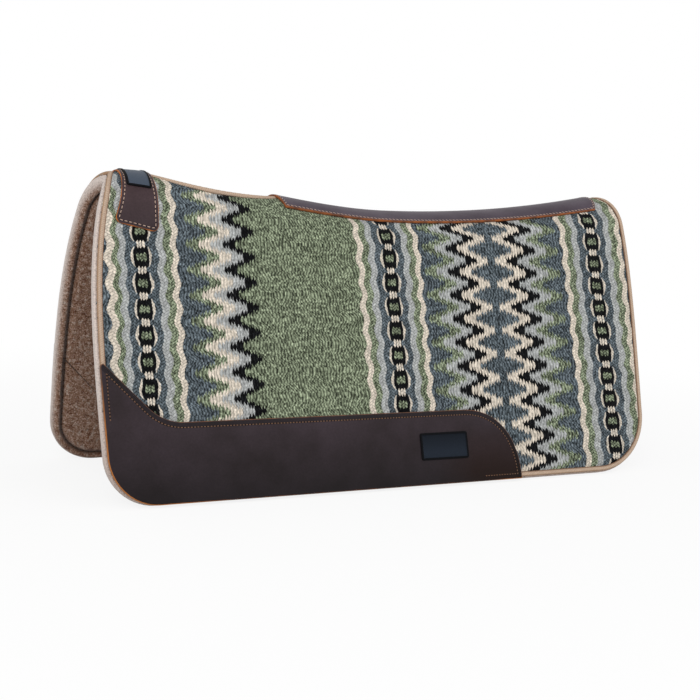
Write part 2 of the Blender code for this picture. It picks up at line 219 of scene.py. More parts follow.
def set_attribute(piece: Piece, name: str, vectors: Array) -> None:
    """Store one vector for each vertex.

    Args:
        piece: Mesh object.
        name: Attribute name that the material reads.
        vectors: Vertex count by 3 values.
    """
    layer = piece.data.attributes.new(name, "FLOAT_VECTOR", "POINT")
    layer.data.foreach_set("vector", np.asarray(vectors, np.float32).ravel())


def pick_only(piece: Piece) -> None:
    """Select a piece alone and make it active.

    Args:
        piece: The piece.
    """
    deselect()
    piece.select_set(True)
    bpy.context.view_layer.objects.active = piece


def clear_selection(mesh: bpy.types.Mesh) -> None:
    """Deselect every part of a mesh."""
    for item in (*mesh.vertices, *mesh.edges, *mesh.polygons):
        item.select = False


def turn_outwards(piece: Piece) -> None:
    """Recalculate a closed mesh's normals so that they point out.

    Args:
        piece: The piece.
    """
    pick_only(piece)
    bpy.ops.object.mode_set(mode="EDIT")
    bpy.ops.mesh.select_all(action="SELECT")
    bpy.ops.mesh.normals_make_consistent(inside=False)
    bpy.ops.object.mode_set(mode="OBJECT")


@dataclass(frozen=True)
class PadForm:
    """The skin of the pad, with the sizes of its solids."""

    flap_tilt: float = math.radians(16.4)
    crown_radius: float = 0.0567
    wither_height: float = 0.3818
    seat_height: float = 0.3435
    loin_height: float = 0.3792
    wither_x: float = -0.350
    seat_x: float = 0.030
    loin_x: float = 0.387
    front_foot_x: float = -0.3891
    front_lean: float = 0.0149
    front_cutback: float = 0.0466
    rear_foot_x: float = 0.3863
    rear_lean: float = 0.0256
    rear_tuck: float = 0.0252
    front_corner: float = 0.060
    rear_corner: float = 0.085
    foot_depth: float = 0.0137
    leather_under: float = -0.0005
    leather_face: float = -0.0035
    tab_face: float = -0.0025
    seam_gap: float = 0.0003
    vent_x: float = -0.2225
    vent_half_length: float = 0.0825
    vent_half_width: float = 0.030

    @cached_property
    def foot_half_spread(self) -> float:
        """Half the spread of the flaps' bottom edges."""
        rise = (1.0 - math.sin(self.flap_tilt)) / math.cos(self.flap_tilt)
        return self.wither_height * math.tan(self.flap_tilt) + self.crown_radius * rise

    @cached_property
    def lift(self) -> float:
        """Height of the skin's bottom edge, which the felt's foot hangs below."""
        return self.foot_depth * math.sin(self.flap_tilt)

    @cached_property
    def middle_x(self) -> float:
        """Middle of the outline along X, which is the origin."""
        v = np.linspace(0.0, float(self.spine_length(self.front_foot_x)), 201)
        return float(self.front_line(v).min() + self.rear_line(v).max()) / 2.0

    def spine_height(self, x: Array) -> Array:
        """Height of the crown over the bottom edge: withers, seat dip and rising loin.

        Args:
            x: Places along the spine.

        Returns:
            Heights.
        """
        x = np.asarray(x, float)
        t = np.clip((self.seat_x - x) / (self.seat_x - self.wither_x), 0.0, 1.0)
        front = self.seat_height + (self.wither_height - self.seat_height) * t * t * (3.0 - 2.0 * t)
        share = (x - self.seat_x) / (self.loin_x - self.seat_x)
        rear = self.seat_height + (self.loin_height - self.seat_height) * share ** 2
        return np.where(x < self.seat_x, front, rear)

    def radius_at(self, x: Array) -> Array:
        """Radius of the crown that is tangent to both flaps."""
        rise = (1.0 - math.sin(self.flap_tilt)) / math.cos(self.flap_tilt)
        return (self.foot_half_spread - self.spine_height(x) * math.tan(self.flap_tilt)) / rise

    def crown_start(self, x: Array) -> Array:
        """Length up the flat flap to where the crown begins."""
        drop = self.radius_at(x) * (1.0 - math.sin(self.flap_tilt))
        return (self.spine_height(x) - drop) / math.cos(self.flap_tilt)

    def spine_length(self, x: Array) -> Array:
        """Length up the skin from the bottom edge to the spine."""
        return self.crown_start(x) + self.radius_at(x) * (math.pi / 2.0 - self.flap_tilt)

    def front_line(self, v: Array) -> Array:
        """Front edge of the flap above its corner."""
        s = np.asarray(v, float) / self.spine_length(self.front_foot_x)
        return self.front_foot_x - self.front_lean * s + self.front_cutback * s ** 4

    def rear_line(self, v: Array) -> Array:
        """Rear edge of the flap above its corner."""
        s = np.asarray(v, float) / self.spine_length(self.rear_foot_x)
        return self.rear_foot_x + self.rear_lean * s - self.rear_tuck * s ** 5

    def vent_width_at(self, x: Array, margin: float = 0.0) -> Array:
        """Half width of the vent, grown by a margin; zero beyond its ends."""
        t = (np.asarray(x, float) - self.vent_x) / (self.vent_half_length + margin)
        return (self.vent_half_width + margin) * np.sqrt(np.clip(1.0 - t * t, 0.0, None))

    def place(self, x: Array, v: Array, depth: Array, side: Side, seam: float | None = None) -> Array:
        """Points at places on one flap.

        Args:
            x: Places along the spine.
            v: Lengths up the skin.
            depth: Depths inside it, negative outside.
            side: The flap.
            seam: Gap to the other flap at the spine, or None for the pad's own.

        Returns:
            Points, with X, Y and Z last.
        """
        x, v, depth = np.broadcast_arrays(*(np.asarray(item, float) for item in (x, v, depth)))
        radius = self.radius_at(x)
        start = self.crown_start(x)
        angle = self.flap_tilt + np.maximum(v - start, 0.0) / radius
        flat = v <= start
        y = np.where(flat, self.foot_half_spread - v * math.sin(self.flap_tilt), radius * np.cos(angle))
        crown_z = self.spine_height(x) - radius + radius * np.sin(angle)
        z = np.where(flat, v * math.cos(self.flap_tilt), crown_z)
        gap = self.seam_gap if seam is None else seam
        y = y + gap / 2.0 - depth * np.cos(angle)
        z = z + self.lift - depth * np.sin(angle)
        return np.stack([x - self.middle_x, side.value * y, z], axis=-1)

    def across(self, x: Array, w: Array, depth: Array) -> Array:
        """Points at places over the spine, for pieces that cross it.

        Args:
            x: Places along the spine.
            w: Lengths across the spine, positive on the near side.
            depth: Depths inside the skin, negative outside.

        Returns:
            Points, with X, Y and Z last.
        """
        v = self.spine_length(x) - np.abs(w)
        near = self.place(x, v, depth, Side.NEAR, seam=0.0)
        far = self.place(x, v, depth, Side.FAR, seam=0.0)
        return np.where((np.asarray(w) > 0.0)[..., None], near, far)

    def inset(self, x: Array, v: Array) -> Array:
        """Distance in from the flap's front, bottom and rear edges, round its two corners.

        Args:
            x: Places along the spine.
            v: Lengths up the skin.

        Returns:
            Distances.
        """
        x, v = np.broadcast_arrays(np.asarray(x, float), np.asarray(v, float))
        nearest = v
        edges = ((self.front_line, 1.0, self.front_corner), (self.rear_line, -1.0, self.rear_corner))
        for line, sign, r in edges:
            gap = sign * (x - line(np.maximum(v, r)))
            reach = np.maximum(r - gap, 0.0)
            below = np.maximum(r - v, 0.0)
            rounded = np.where((reach > 0.0) & (below > 0.0), r - np.hypot(reach, below), gap)
            nearest = np.minimum(nearest, rounded)
        return nearest


FORM = PadForm()


@dataclass(frozen=True)
class Binding:
    """Section and run of the tape that binds the cut edges of the woven top."""

    # Distance in from the edge and depth, in millimetres, round the section
    section: tuple = (
        (3.1, 4.3), (2.3, 4.3), (2.0, 3.2), (2.0, 1.8), (2.4, 0.7), (3.2, 0.0), (4.3, -0.25), (5.4, -0.15),
        (6.2, 0.3), (6.6, 0.9), (7.0, 0.55), (7.5, 0.3), (8.0, 0.5), (8.4, 1.2), (8.4, 1.8), (3.3, 1.9),
    )
    ring_step: float = 1.25 * MM
    rib_pitch: float = 2.6 * MM
    rib_height: float = 0.13 * MM
    rib_slant: float = 0.55
    front_shift: float = 1.6 * MM
    # Section points on the tape's face, where its length is measured, and the widths that its tone covers
    face_points: range = range(4, 14)
    path_inset: float = 5.0 * MM
    edge_width: float = 9.0
    vent_width: float = 6.6

    def taped_edge(self, inset: float) -> Places:
        """Places of the taped edge, which leaves more of the felt's roll bare in front."""
        return self.edge_run(inset, self.front_shift)

    def edge_run(self, inset: float, front_shift: float = 0.0) -> Places:
        """Places down the front edge, along the bottom and up the rear edge.

        Args:
            inset: Distance in from the edge.
            front_shift: How much further in the front edge is.

        Returns:
            Places on the skin.
        """

        def upright(line: Callable, shift: float, r: float) -> Places:
            """Places up an edge line, moved by shift, from the corner of radius r to the spine."""
            count = int((float(FORM.spine_length(FORM.front_foot_x)) - r) / self.ring_step)
            t = np.linspace(0.0, 1.0, count)
            v = r + t * (FORM.spine_length(FORM.front_foot_x) - r)
            for _ in range(3):
                x = line(v) + shift
                v = r + t * (FORM.spine_length(x) - r)
            return x, v

        front, rear = FORM.front_corner, FORM.rear_corner
        front_x, front_v = upright(FORM.front_line, inset + front_shift, front)
        rear_x, rear_v = upright(FORM.rear_line, -inset, rear)
        turn = np.linspace(0.0, math.pi / 2.0, int(front * math.pi / 2.0 / self.ring_step))[1:-1]
        turn_up = np.linspace(0.0, math.pi / 2.0, int(rear * math.pi / 2.0 / self.ring_step))[1:-1]
        front_centre = float(FORM.front_line(front)) + front
        rear_centre = float(FORM.rear_line(rear)) - rear
        bottom = np.linspace(front_centre, rear_centre, int((rear_centre - front_centre) / self.ring_step))
        round_front = front - inset - front_shift * (1.0 - smooth_step(0.0, 1.2, turn))
        x = np.concatenate([
            front_x[::-1], front_centre - round_front * np.cos(turn), bottom,
            rear_centre + (rear - inset) * np.sin(turn_up), rear_x])
        v = np.concatenate([
            front_v[::-1], front - round_front * np.sin(turn), np.full(bottom.shape, inset),
            rear - (rear - inset) * np.cos(turn_up), rear_v])
        return x, v

    def vent_run(self, inset: float) -> Places:
        """Places round one half of the vent.

        Args:
            inset: Distance out from its edge.

        Returns:
            Places on the skin.
        """
        count = int(math.pi * (FORM.vent_half_length + FORM.vent_half_width) / 2.0 / self.ring_step)
        turn = np.linspace(0.0, math.pi, count)
        x = FORM.vent_x - (FORM.vent_half_length + inset) * np.cos(turn)
        return x, FORM.spine_length(x) - (FORM.vent_half_width + inset) * np.sin(turn)

    def build(self, name: str, run: Callable, side: Side, material: Material, lift: float = 0.0) -> Piece:
        """Sweep the section along a run.

        Args:
            name: The piece's name.
            run: Method that gives the places of the run at an inset.
            side: The flap.
            material: The tape's material.
            lift: How far the tape stands up in the middle of its run.

        Returns:
            The closed tape.
        """
        middle = run(self.path_inset)
        path = FORM.place(middle[0], middle[1], 0.0, side)
        length = np.concatenate([[0.0], np.cumsum(np.linalg.norm(np.diff(path, axis=0), axis=1))])
        count = len(self.section)
        rings = []
        for index, (inset, depth) in enumerate(self.section):
            x, v = run(inset * MM)
            on_face = index in self.face_points
            slant = self.rib_slant * inset * MM
            rib = np.cos(2.0 * math.pi * (length + slant) / self.rib_pitch) * self.rib_height * on_face
            raised = lift * on_face * np.sqrt(np.sin(math.pi * length / length[-1]).clip(0.0))
            rings.append(FORM.place(x, v, depth * MM - rib - raised, side))
        grid = np.stack(rings, axis=1)
        steps = grid.shape[0]
        faces = [tuple(range(count)), tuple(range((steps - 1) * count, steps * count))[::-1]]
        for step in range(steps - 1):
            low = step * count
            for i in range(count):
                j = (i + 1) % count
                faces.append((low + i, low + count + i, low + count + j, low + j))
        piece = mesh_piece(name, grid.reshape(-1, 3), faces, [material])
        turn_outwards(piece)
        shape = (steps, count)
        widest = self.vent_width if lift else self.edge_width
        across = np.broadcast_to([min(inset, widest) for inset, _ in self.section], shape)
        along = np.broadcast_to(length[:, None] / MM, shape)
        set_attribute(piece, "run", np.stack([along, across, np.zeros(shape)], axis=-1).reshape(-1, 3))
        return piece


@dataclass(frozen=True)
class Cloth:
    """How the woven cloth lies on a flap: yarn columns up the flap, and rows of the bead pattern."""

    # Places of the three bead chains along the spine, and the columns that they fall on
    chain_x: tuple = (-0.3332, 0.0026, 0.3350)
    chain_column: tuple = (0.0, 78.0, 148.0)
    # Height of the bead row nearest the spine, and the pitch of the rows, at the three chains
    row_top: tuple = (0.3251, 0.3289, 0.3278)
    row_pitch: tuple = (0.03164, 0.03201, 0.03230)
    # Columns, and the even columns that they lie on where the cloth is drawn up or let out
    stretch: tuple = ((-20.0, -19.0), (-10.5, -10.0), (-8.65, -7.7), (-6.7, -6.37), (0.0, 0.0),
                      (10.5, 10.5), (67.5, 67.05), (78.0, 78.0), (148.0, 148.0), (168.0, 167.3))
    wave: float = 2.1 * MM
    front_wave: float = 0.6 * MM
    lean: float = 0.16
    field: tuple = (36.0, 66.0)
    field_blend: float = 2.0
    # Dashes of braid in a row, and how far each side of a chain the stripes reach, in columns
    dashes: float = 6.0
    stripe_reach: float = 10.6
    first_column: int = -18
    last_column: int = 163
    first_row: int = -4
    last_row: int = 11
    steps_in_row: int = 16
    relief: float = 0.9 * MM
    edge_inset: float = 5.2 * MM
    press_from: float = 10.6 * MM
    press_to: float = 8.4 * MM
    press_depth: float = 2.2 * MM
    under_depth: float = 3.9 * MM
    least_cell: float = 1.5 * MM

    def column_x(self, column: Array) -> Array:
        """Place along the spine of a column: even to the middle chain, then slowly wider.

        Args:
            column: Columns of the cloth.

        Returns:
            Places along the spine.
        """
        first, middle, last = self.chain_column
        column = np.interp(column, *zip(*self.stretch))
        pitch = (self.chain_x[1] - self.chain_x[0]) / (middle - first)
        past = np.maximum(column - middle, 0.0)
        span = last - middle
        growth = (self.chain_x[2] - self.chain_x[1] - pitch * span) / span ** 2
        return self.chain_x[0] + (column - first) * pitch + growth * past ** 2

    def through_chains(self, values: tuple, x: Array) -> Array:
        """The smooth curve through a value at each of the three chains."""
        return np.polyval(np.polyfit(self.chain_x, values, 2), x)

    def lay(self, column: Array, row: Array) -> Places:
        """Place of a column and row on the flap.

        Args:
            column: Column numbers, whole at the middles of the yarns.
            row: Row numbers, whole at the beads and counted down the flap.

        Returns:
            Places along the spine and lengths up the skin.
        """
        x = self.column_x(column)
        v = self.through_chains(self.row_top, x) - self.through_chains(self.row_pitch, x) * row
        offset = self.from_chain(column)
        away = np.abs(offset)
        low, high = self.field
        calm = np.where((column > low) & (column < high), 12.0, 24.0)
        swell = smooth_step(2.0, 6.0, away) * (1.0 - smooth_step(0.0, 1.0, (away - calm) / (36.0 - calm)))
        swell = swell * (1.0 - 0.5 * smooth_step(11.0, 19.0, away))
        wave = self.wave + self.front_wave * smooth_step(5.0, 10.0, -column)
        return x + np.sign(offset) * wave * swell * np.cos(2.0 * math.pi * row), v

    def from_chain(self, column: Array) -> Array:
        """Columns from the nearest chain, negative in front of it."""
        offset = column[..., None] - np.array(self.chain_column)
        return np.take_along_axis(offset, np.abs(offset).argmin(-1)[..., None], -1)[..., 0]

    def leaning(self, column: Array, row: Array) -> Array:
        """Columns by which the plain field's yarns lean back and forward down a row.

        Args:
            column: Columns of the cloth.
            row: Rows of the cloth.

        Returns:
            Columns to add.
        """
        low, high = self.field
        begun = smooth_step(low - self.field_blend, low + self.field_blend, column)
        ended = smooth_step(high - self.field_blend, high + self.field_blend, column)
        within = begun * (1.0 - ended)
        return -self.lean * within * np.cos(2.0 * math.pi * row)

    def build(self, side: Side, material: Material) -> Piece:
        """Weave one half: raised dashes of yarn over a closed sheet, trimmed under the bindings.

        Args:
            side: The flap.
            material: The woven wool.

        Returns:
            The closed sheet.
        """
        fine = self.steps_in_row
        half_columns = np.arange(2 * self.first_column, 2 * self.last_column + 1)
        fine_rows = np.arange(self.first_row * fine, self.last_row * fine + 1)
        column, row = np.meshgrid(half_columns / 2.0, fine_rows / fine, indexing="ij")
        x, v = self.lay(column + self.leaning(column, row), row)
        top = FORM.spine_length(x)
        inside = FORM.inset(x, v)
        vent_gap = self.vent_gap(x, v)
        height = self.dash_height(column, row)
        pressed = 1.0 - smooth_step(self.press_to, self.press_from, np.minimum(inside, vent_gap))
        depth = self.relief * (1.0 - height) * (1.0 - 0.8 * pressed) + self.press_depth * pressed
        v_on = np.minimum(v, top)
        face = FORM.place(x, v_on, depth, side)
        under = FORM.place(x[::2, ::2], v_on[::2, ::2], self.under_depth, side)

        middle = (slice(1, None, 2), slice(1, None, 2))
        keep = (inside[middle] > self.edge_inset) & (vent_gap[middle] > self.edge_inset)
        keep &= v[1::2, 2::2] < top[1::2, 2::2] - self.least_cell
        points, faces, used = self.sheet(keep, face, under, side)
        piece = mesh_piece(f"woven_top_{side.word}", points, faces, [material])
        cloth = np.concatenate([
            np.stack([column, row, 0.0 * row], axis=-1).reshape(-1, 3),
            np.stack([column, row, 0.0 * row], axis=-1)[::2, ::2].reshape(-1, 3)])
        set_attribute(piece, "cloth", cloth[used])
        return piece

    def vent_gap(self, x: Array, v: Array) -> Array:
        """About how far a place lies from the vent's edge.

        Args:
            x: Places along the spine.
            v: Lengths up the skin.

        Returns:
            Distances, negative inside the vent.
        """
        along = (x - FORM.vent_x) / FORM.vent_half_length
        across = (FORM.spine_length(x) - v) / FORM.vent_half_width
        ring = np.maximum(np.hypot(along, across), 1e-6)
        reach = np.hypot(along * FORM.vent_half_length, across * FORM.vent_half_width)
        return reach * (1.0 - 1.0 / ring)

    def dash_height(self, column: Array, row: Array) -> Array:
        """Height of the yarn: even dashes in the stripes and uneven ones in the ground.

        Args:
            column: Columns of the cloth.
            row: Rows of the cloth.

        Returns:
            Heights, from 0 in the gaps to 1 on a dash.
        """
        number = np.floor(column + 0.5)
        dash = self.dashes * row + 0.5 * (number % 2)
        braided = 0.4 + 0.6 * np.sqrt(np.abs(np.sin(math.pi * dash)))
        uneven = 0.45 + 0.35 * np.sin(12.9 * number + 78.2 * np.floor(7.0 * row))
        striped = np.abs(self.from_chain(column)) < self.stripe_reach
        return np.where(column == number, np.where(striped, braided, uneven), np.where(striped, 0.4, 0.2))

    def sheet(self, keep: Array, face: Array, under: Array, side: Side) -> tuple[Array, list, Array]:
        """Join the kept cells into a closed sheet.

        Args:
            keep: Which cells are kept; a cell is one column wide and two steps tall.
            face: Points of the woven face, two steps a cell each way.
            under: Points of the underside, one step a cell.
            side: The flap, which decides the way that the faces turn.

        Returns:
            The points, the faces, and the numbers of the points that are used.
        """
        face_rows = face.shape[1]
        under_rows = under.shape[1]
        base = face.shape[0] * face_rows

        def on_face(i: int, j: int) -> int:
            """Number of a point of the face."""
            return i * face_rows + j

        def on_under(i: int, j: int) -> int:
            """Number of a point of the underside."""
            return base + i * under_rows + j

        padded = np.pad(keep, 1)
        faces = []
        for i, j in np.argwhere(keep):
            p, q = 2 * i, 2 * j
            for a in (p, p + 1):
                for b in (q, q + 1):
                    corners = ((a, b), (a, b + 1), (a + 1, b + 1), (a + 1, b))
                    faces.append(tuple(on_face(*n) for n in corners))
            corners = ((i, j), (i + 1, j), (i + 1, j + 1), (i, j + 1))
            faces.append(tuple(on_under(*n) for n in corners))
            walls = (
                (padded[i, j + 1], [(p, q + 2), (p, q + 1), (p, q)], [(i, j), (i, j + 1)]),
                (padded[i + 2, j + 1], [(p + 2, q), (p + 2, q + 1), (p + 2, q + 2)],
                 [(i + 1, j + 1), (i + 1, j)]),
                (padded[i + 1, j], [(p, q), (p + 1, q), (p + 2, q)], [(i + 1, j), (i, j)]),
                (padded[i + 1, j + 2], [(p + 2, q + 2), (p + 1, q + 2), (p, q + 2)],
                 [(i, j + 1), (i + 1, j + 1)]),
            )
            for neighbour, high, low in walls:
                if not neighbour:
                    faces.append(tuple(on_face(*n) for n in high) + tuple(on_under(*n) for n in low))
        if side is Side.FAR:
            faces = [wall[::-1] for wall in faces]
        used = np.unique(np.concatenate([np.array(wall) for wall in faces]))
        number = np.full(base + under.shape[0] * under_rows, -1)
        number[used] = np.arange(len(used))
        everything = np.concatenate([face.reshape(-1, 3), under.reshape(-1, 3)])
        return everything[used], [tuple(number[list(wall)].tolist()) for wall in faces], used


@dataclass(frozen=True)
class FeltHalf:
    """Thick pressed wool felt, rolled at its edge and sewn through in a channel round its underside."""

    front_columns: int = 8
    vent_columns: int = 36
    rear_columns: int = 120
    corner_rows: int = 14
    flap_rows: int = 58
    crown_rows: int = 22
    pull_reach: float = 70.0 * MM
    lump: float = 0.45 * MM
    lump_size: float = 9.0 * MM
    fuzz: float = 0.22 * MM
    fuzz_size: float = 3.0 * MM
    fuzz_shift: tuple = (7.0, 3.0, 1.0)
    # Distance in from the edge and depth, in millimetres, over the rim and into the sewn channel
    rim: tuple = (
        (6.0, 4.7), (1.9, 4.75), (0.8, 5.2), (0.2, 6.2), (0.0, 7.6), (0.0, 9.6), (0.0, 11.6), (0.0, 13.7),
        (0.8, 16.6), (1.8, 19.0), (3.3, 21.0), (5.2, 22.3), (7.2, 22.6), (8.8, 22.0), (10.2, 20.6),
        (11.2, 19.3), (12.0, 18.8), (12.9, 19.3), (14.2, 20.7), (16.0, 22.0), (19.0, 22.7),
    )
    # Depth in millimetres and how pale the rim is painted there, from brushing and a painted highlight
    brushed_and_lit: tuple = ((10.0, 1.0), (15.0, 0.75), (18.5, 0.4), (21.5, 0.0))
    # Distances in from the edge, in millimetres, where the rim's paleness ends and where the channel's
    # painted shade and dirt begin and end
    brushed_and_lit_to: tuple = (7.0, 11.0)
    crease_from: tuple = (7.0, 10.5)
    crease_to: tuple = (12.5, 15.0)
    seam_dip: float = 1.1 * MM
    seam_width: float = 3.6 * MM

    def base_grid(self) -> Places:
        """Places of the flap's grid with its edge on the outline, in columns of rows."""
        spine = float(FORM.spine_length(FORM.front_foot_x))
        front, rear = float(FORM.front_line(spine)), float(FORM.rear_line(spine))
        vent_front = FORM.vent_x - FORM.vent_half_length
        vent_rear = FORM.vent_x + FORM.vent_half_length
        arc = np.linspace(0.0, math.pi, self.vent_columns + 1)[:-1]
        places = np.concatenate([
            np.linspace(front, vent_front, self.front_columns + 1)[:-1],
            FORM.vent_x - FORM.vent_half_length * np.cos(arc),
            np.linspace(vent_rear, rear, self.rear_columns + 1)])
        share = (places - front) / (rear - front)
        low, high = FORM.front_corner, FORM.rear_corner
        radius = low + share * (high - low)
        x_rows, v_rows = [], []
        for turn in np.linspace(0.0, math.pi / 2.0, self.corner_rows + 1)[:-1]:
            left = FORM.front_line(low) + low * (1.0 - math.sin(turn))
            right = FORM.rear_line(high) - high * (1.0 - math.sin(turn))
            x_rows.append(left + share * (right - left))
            v_rows.append(radius * (1.0 - math.cos(turn)))
        steps = [(t, 0.0) for t in np.linspace(0.0, 1.0, self.flap_rows + 1)[:-1]]
        steps += [(1.0, t) for t in np.linspace(0.0, 1.0, self.crown_rows + 1)]
        for flat, crown in steps:
            edge_v = self.row_height(np.array([front, rear]), flat, crown, 0.0, np.array([low, high]))
            left, right = FORM.front_line(edge_v[0]), FORM.rear_line(edge_v[1])
            x = left + share * (right - left)
            x_rows.append(x)
            v_rows.append(self.row_height(x, flat, crown, FORM.vent_width_at(places), radius))
        return np.array(x_rows).T, np.array(v_rows).T

    def row_height(self, x: Array, flat: float, crown: float, vent: Array, radius: Array) -> Array:
        # The channel's painted shade and dirt
        """Length up the skin of a row, part way up the flat flap and then over the crown to the top.

        Args:
            x: Places along the spine.
            flat: Share of the way up the flat flap.
            crown: Share of the way over the crown.
            vent: How far the top stops short of the spine.
            radius: Where the row starts, above the corners.

        Returns:
            Lengths up the skin.
        """
        top = FORM.spine_length(x) - vent
        start = np.minimum(FORM.crown_start(x), top)
        return radius + flat * (start - radius) + crown * (top - start)

    def pulled_in(self, x: Array, v: Array, inset: float) -> Places:
        # Painted shade, with some dirt, darkens the sewn channel
        """Move a grid in from the outline, most at its edge and less and less towards its middle.

        Args:
            x: Places along the spine.
            v: Lengths up the skin.
            inset: Move at the edge.

        Returns:
            The moved places.
        """
        step = 0.2 * MM
        gap = FORM.inset(x, v)
        slope_x = (FORM.inset(x + step, v) - FORM.inset(x - step, v)) / (2.0 * step)
        slope_v = (FORM.inset(x, v + step) - FORM.inset(x, v - step)) / (2.0 * step)
        size = np.maximum(np.hypot(slope_x, slope_v), 1e-6)
        push = inset * np.clip(1.0 - gap / self.pull_reach, 0.0, 1.0) ** 2
        moved_x = x + push * slope_x / size
        stretch = FORM.spine_length(moved_x) / FORM.spine_length(x)
        high = smooth_step(FORM.rear_corner, 3.0 * FORM.rear_corner, v)
        return moved_x, (v + push * slope_v / size * (1.0 - high)) * (1.0 + (stretch - 1.0) * high)

    def uneven(self, points: Array) -> Array:
        """Lumps and fuzz of pressed wool at each point, in metres.

        Args:
            points: Points, with X, Y and Z last.

        Returns:
            Heights.
        """
        flat = points.reshape(-1, 3)
        lump = [noise.noise(Vector(p) / self.lump_size) for p in flat]
        fuzz = [noise.noise(Vector(p) / self.fuzz_size + Vector(self.fuzz_shift)) for p in flat]
        return (self.lump * np.array(lump) + self.fuzz * np.array(fuzz)).reshape(points.shape[:-1])

    def build(self, side: Side, material: Material, seam: Array) -> Piece:
        """Make one half.

        Args:
            side: The flap.
            material: The felt.
            seam: Places of the wear leather's stitches, which draw the felt in.

        Returns:
            The closed half.
        """
        x, v = self.base_grid()
        columns, rows = x.shape
        run = [(0, r) for r in range(rows - 1, 0, -1)] + [(c, 0) for c in range(columns)]
        run += [(columns - 1, r) for r in range(1, rows)]
        edge = tuple(np.array(run).T)
        last = len(self.rim) - 1
        levels = []
        for level, (inset, depth) in enumerate(self.rim):
            level_x, level_v = self.pulled_in(x, v, inset * MM)
            whole = level in (0, last)
            pick = (slice(None), slice(None)) if whole else edge
            at_x, at_v = level_x[pick], level_v[pick]
            points = FORM.place(at_x, at_v, depth * MM, side)
            rough = self.uneven(points) * (level > 1)
            dip = self.dip(at_x, at_v, seam) if level == last else 0.0
            levels.append(FORM.place(at_x, at_v, depth * MM + rough - dip, side))
        return self.join(f"felt_{side.word}", levels, edge, (columns, rows), material)

    def dip(self, x: Array, v: Array, seam: Array) -> Array:
        """How far the wear leather's stitches draw the underside in.

        Args:
            x: Places along the spine.
            v: Lengths up the skin.
            seam: Places of the stitches.

        Returns:
            Depths.
        """
        out = np.zeros(x.shape)
        for place_x, place_v in seam[::2]:
            out = np.maximum(out, np.exp(-((x - place_x) ** 2 + (v - place_v) ** 2) / self.seam_width ** 2))
        return out * self.seam_dip

    def join(self, name: str, levels: list, edge: tuple, shape: tuple[int, int],
             material: Material) -> Piece:
        """Close the outer face, the rings over the rim and the underside into one solid.

        Args:
            name: The piece's name.
            levels: Points of each level; the first and last are whole grids, the others runs round the rim.
            edge: Grid columns and rows of the run.
            shape: Columns and rows of the grids.
            material: The felt.

        Returns:
            The closed half.
        """
        columns, rows = shape
        starts = np.cumsum([0] + [level.reshape(-1, 3).shape[0] for level in levels])
        grid_ids = np.arange(columns * rows).reshape(columns, rows)
        run_length = len(edge[0])
        ids = []
        for level in range(len(levels)):
            whole = level in (0, len(levels) - 1)
            ids.append(starts[level] + (grid_ids[edge] if whole else np.arange(run_length)))
        faces = []
        for level in (0, len(levels) - 1):
            grid = starts[level] + grid_ids
            quads = np.stack([grid[:-1, :-1], grid[1:, :-1], grid[1:, 1:], grid[:-1, 1:]], axis=-1)
            faces += quads.reshape(-1, 4).tolist()
        for here, there in zip(ids, ids[1:]):
            faces += np.stack([here[:-1], here[1:], there[1:], there[:-1]], axis=-1).tolist()
        outer, inner = starts[0] + grid_ids[:, -1], starts[-2] + grid_ids[:, -1]
        faces += np.stack([outer[:-1], outer[1:], inner[1:], inner[:-1]], axis=-1).tolist()
        faces.append([int(ring[0]) for ring in ids])
        faces.append([int(ring[-1]) for ring in ids])
        points = np.concatenate([level.reshape(-1, 3) for level in levels])
        piece = mesh_piece(name, points, faces, [material])
        turn_outwards(piece)
        rim_share = np.zeros((len(points), 3))
        for level, (inset, depth) in enumerate(self.rim[1:-1], 1):
            # How pale the rim is painted, from brushing and a painted highlight, and where the channel's
            # painted shade and dirt lie
            brushed_and_lit = np.interp(depth, *zip(*self.brushed_and_lit)) * (1.0 - smooth_step(*self.brushed_and_lit_to, inset))
            crease = smooth_step(*self.crease_from, inset) * (1.0 - smooth_step(*self.crease_to, inset))
            rim_share[starts[level]:starts[level + 1], :2] = brushed_and_lit, crease
        set_attribute(piece, "rim", rim_share)
        return piece


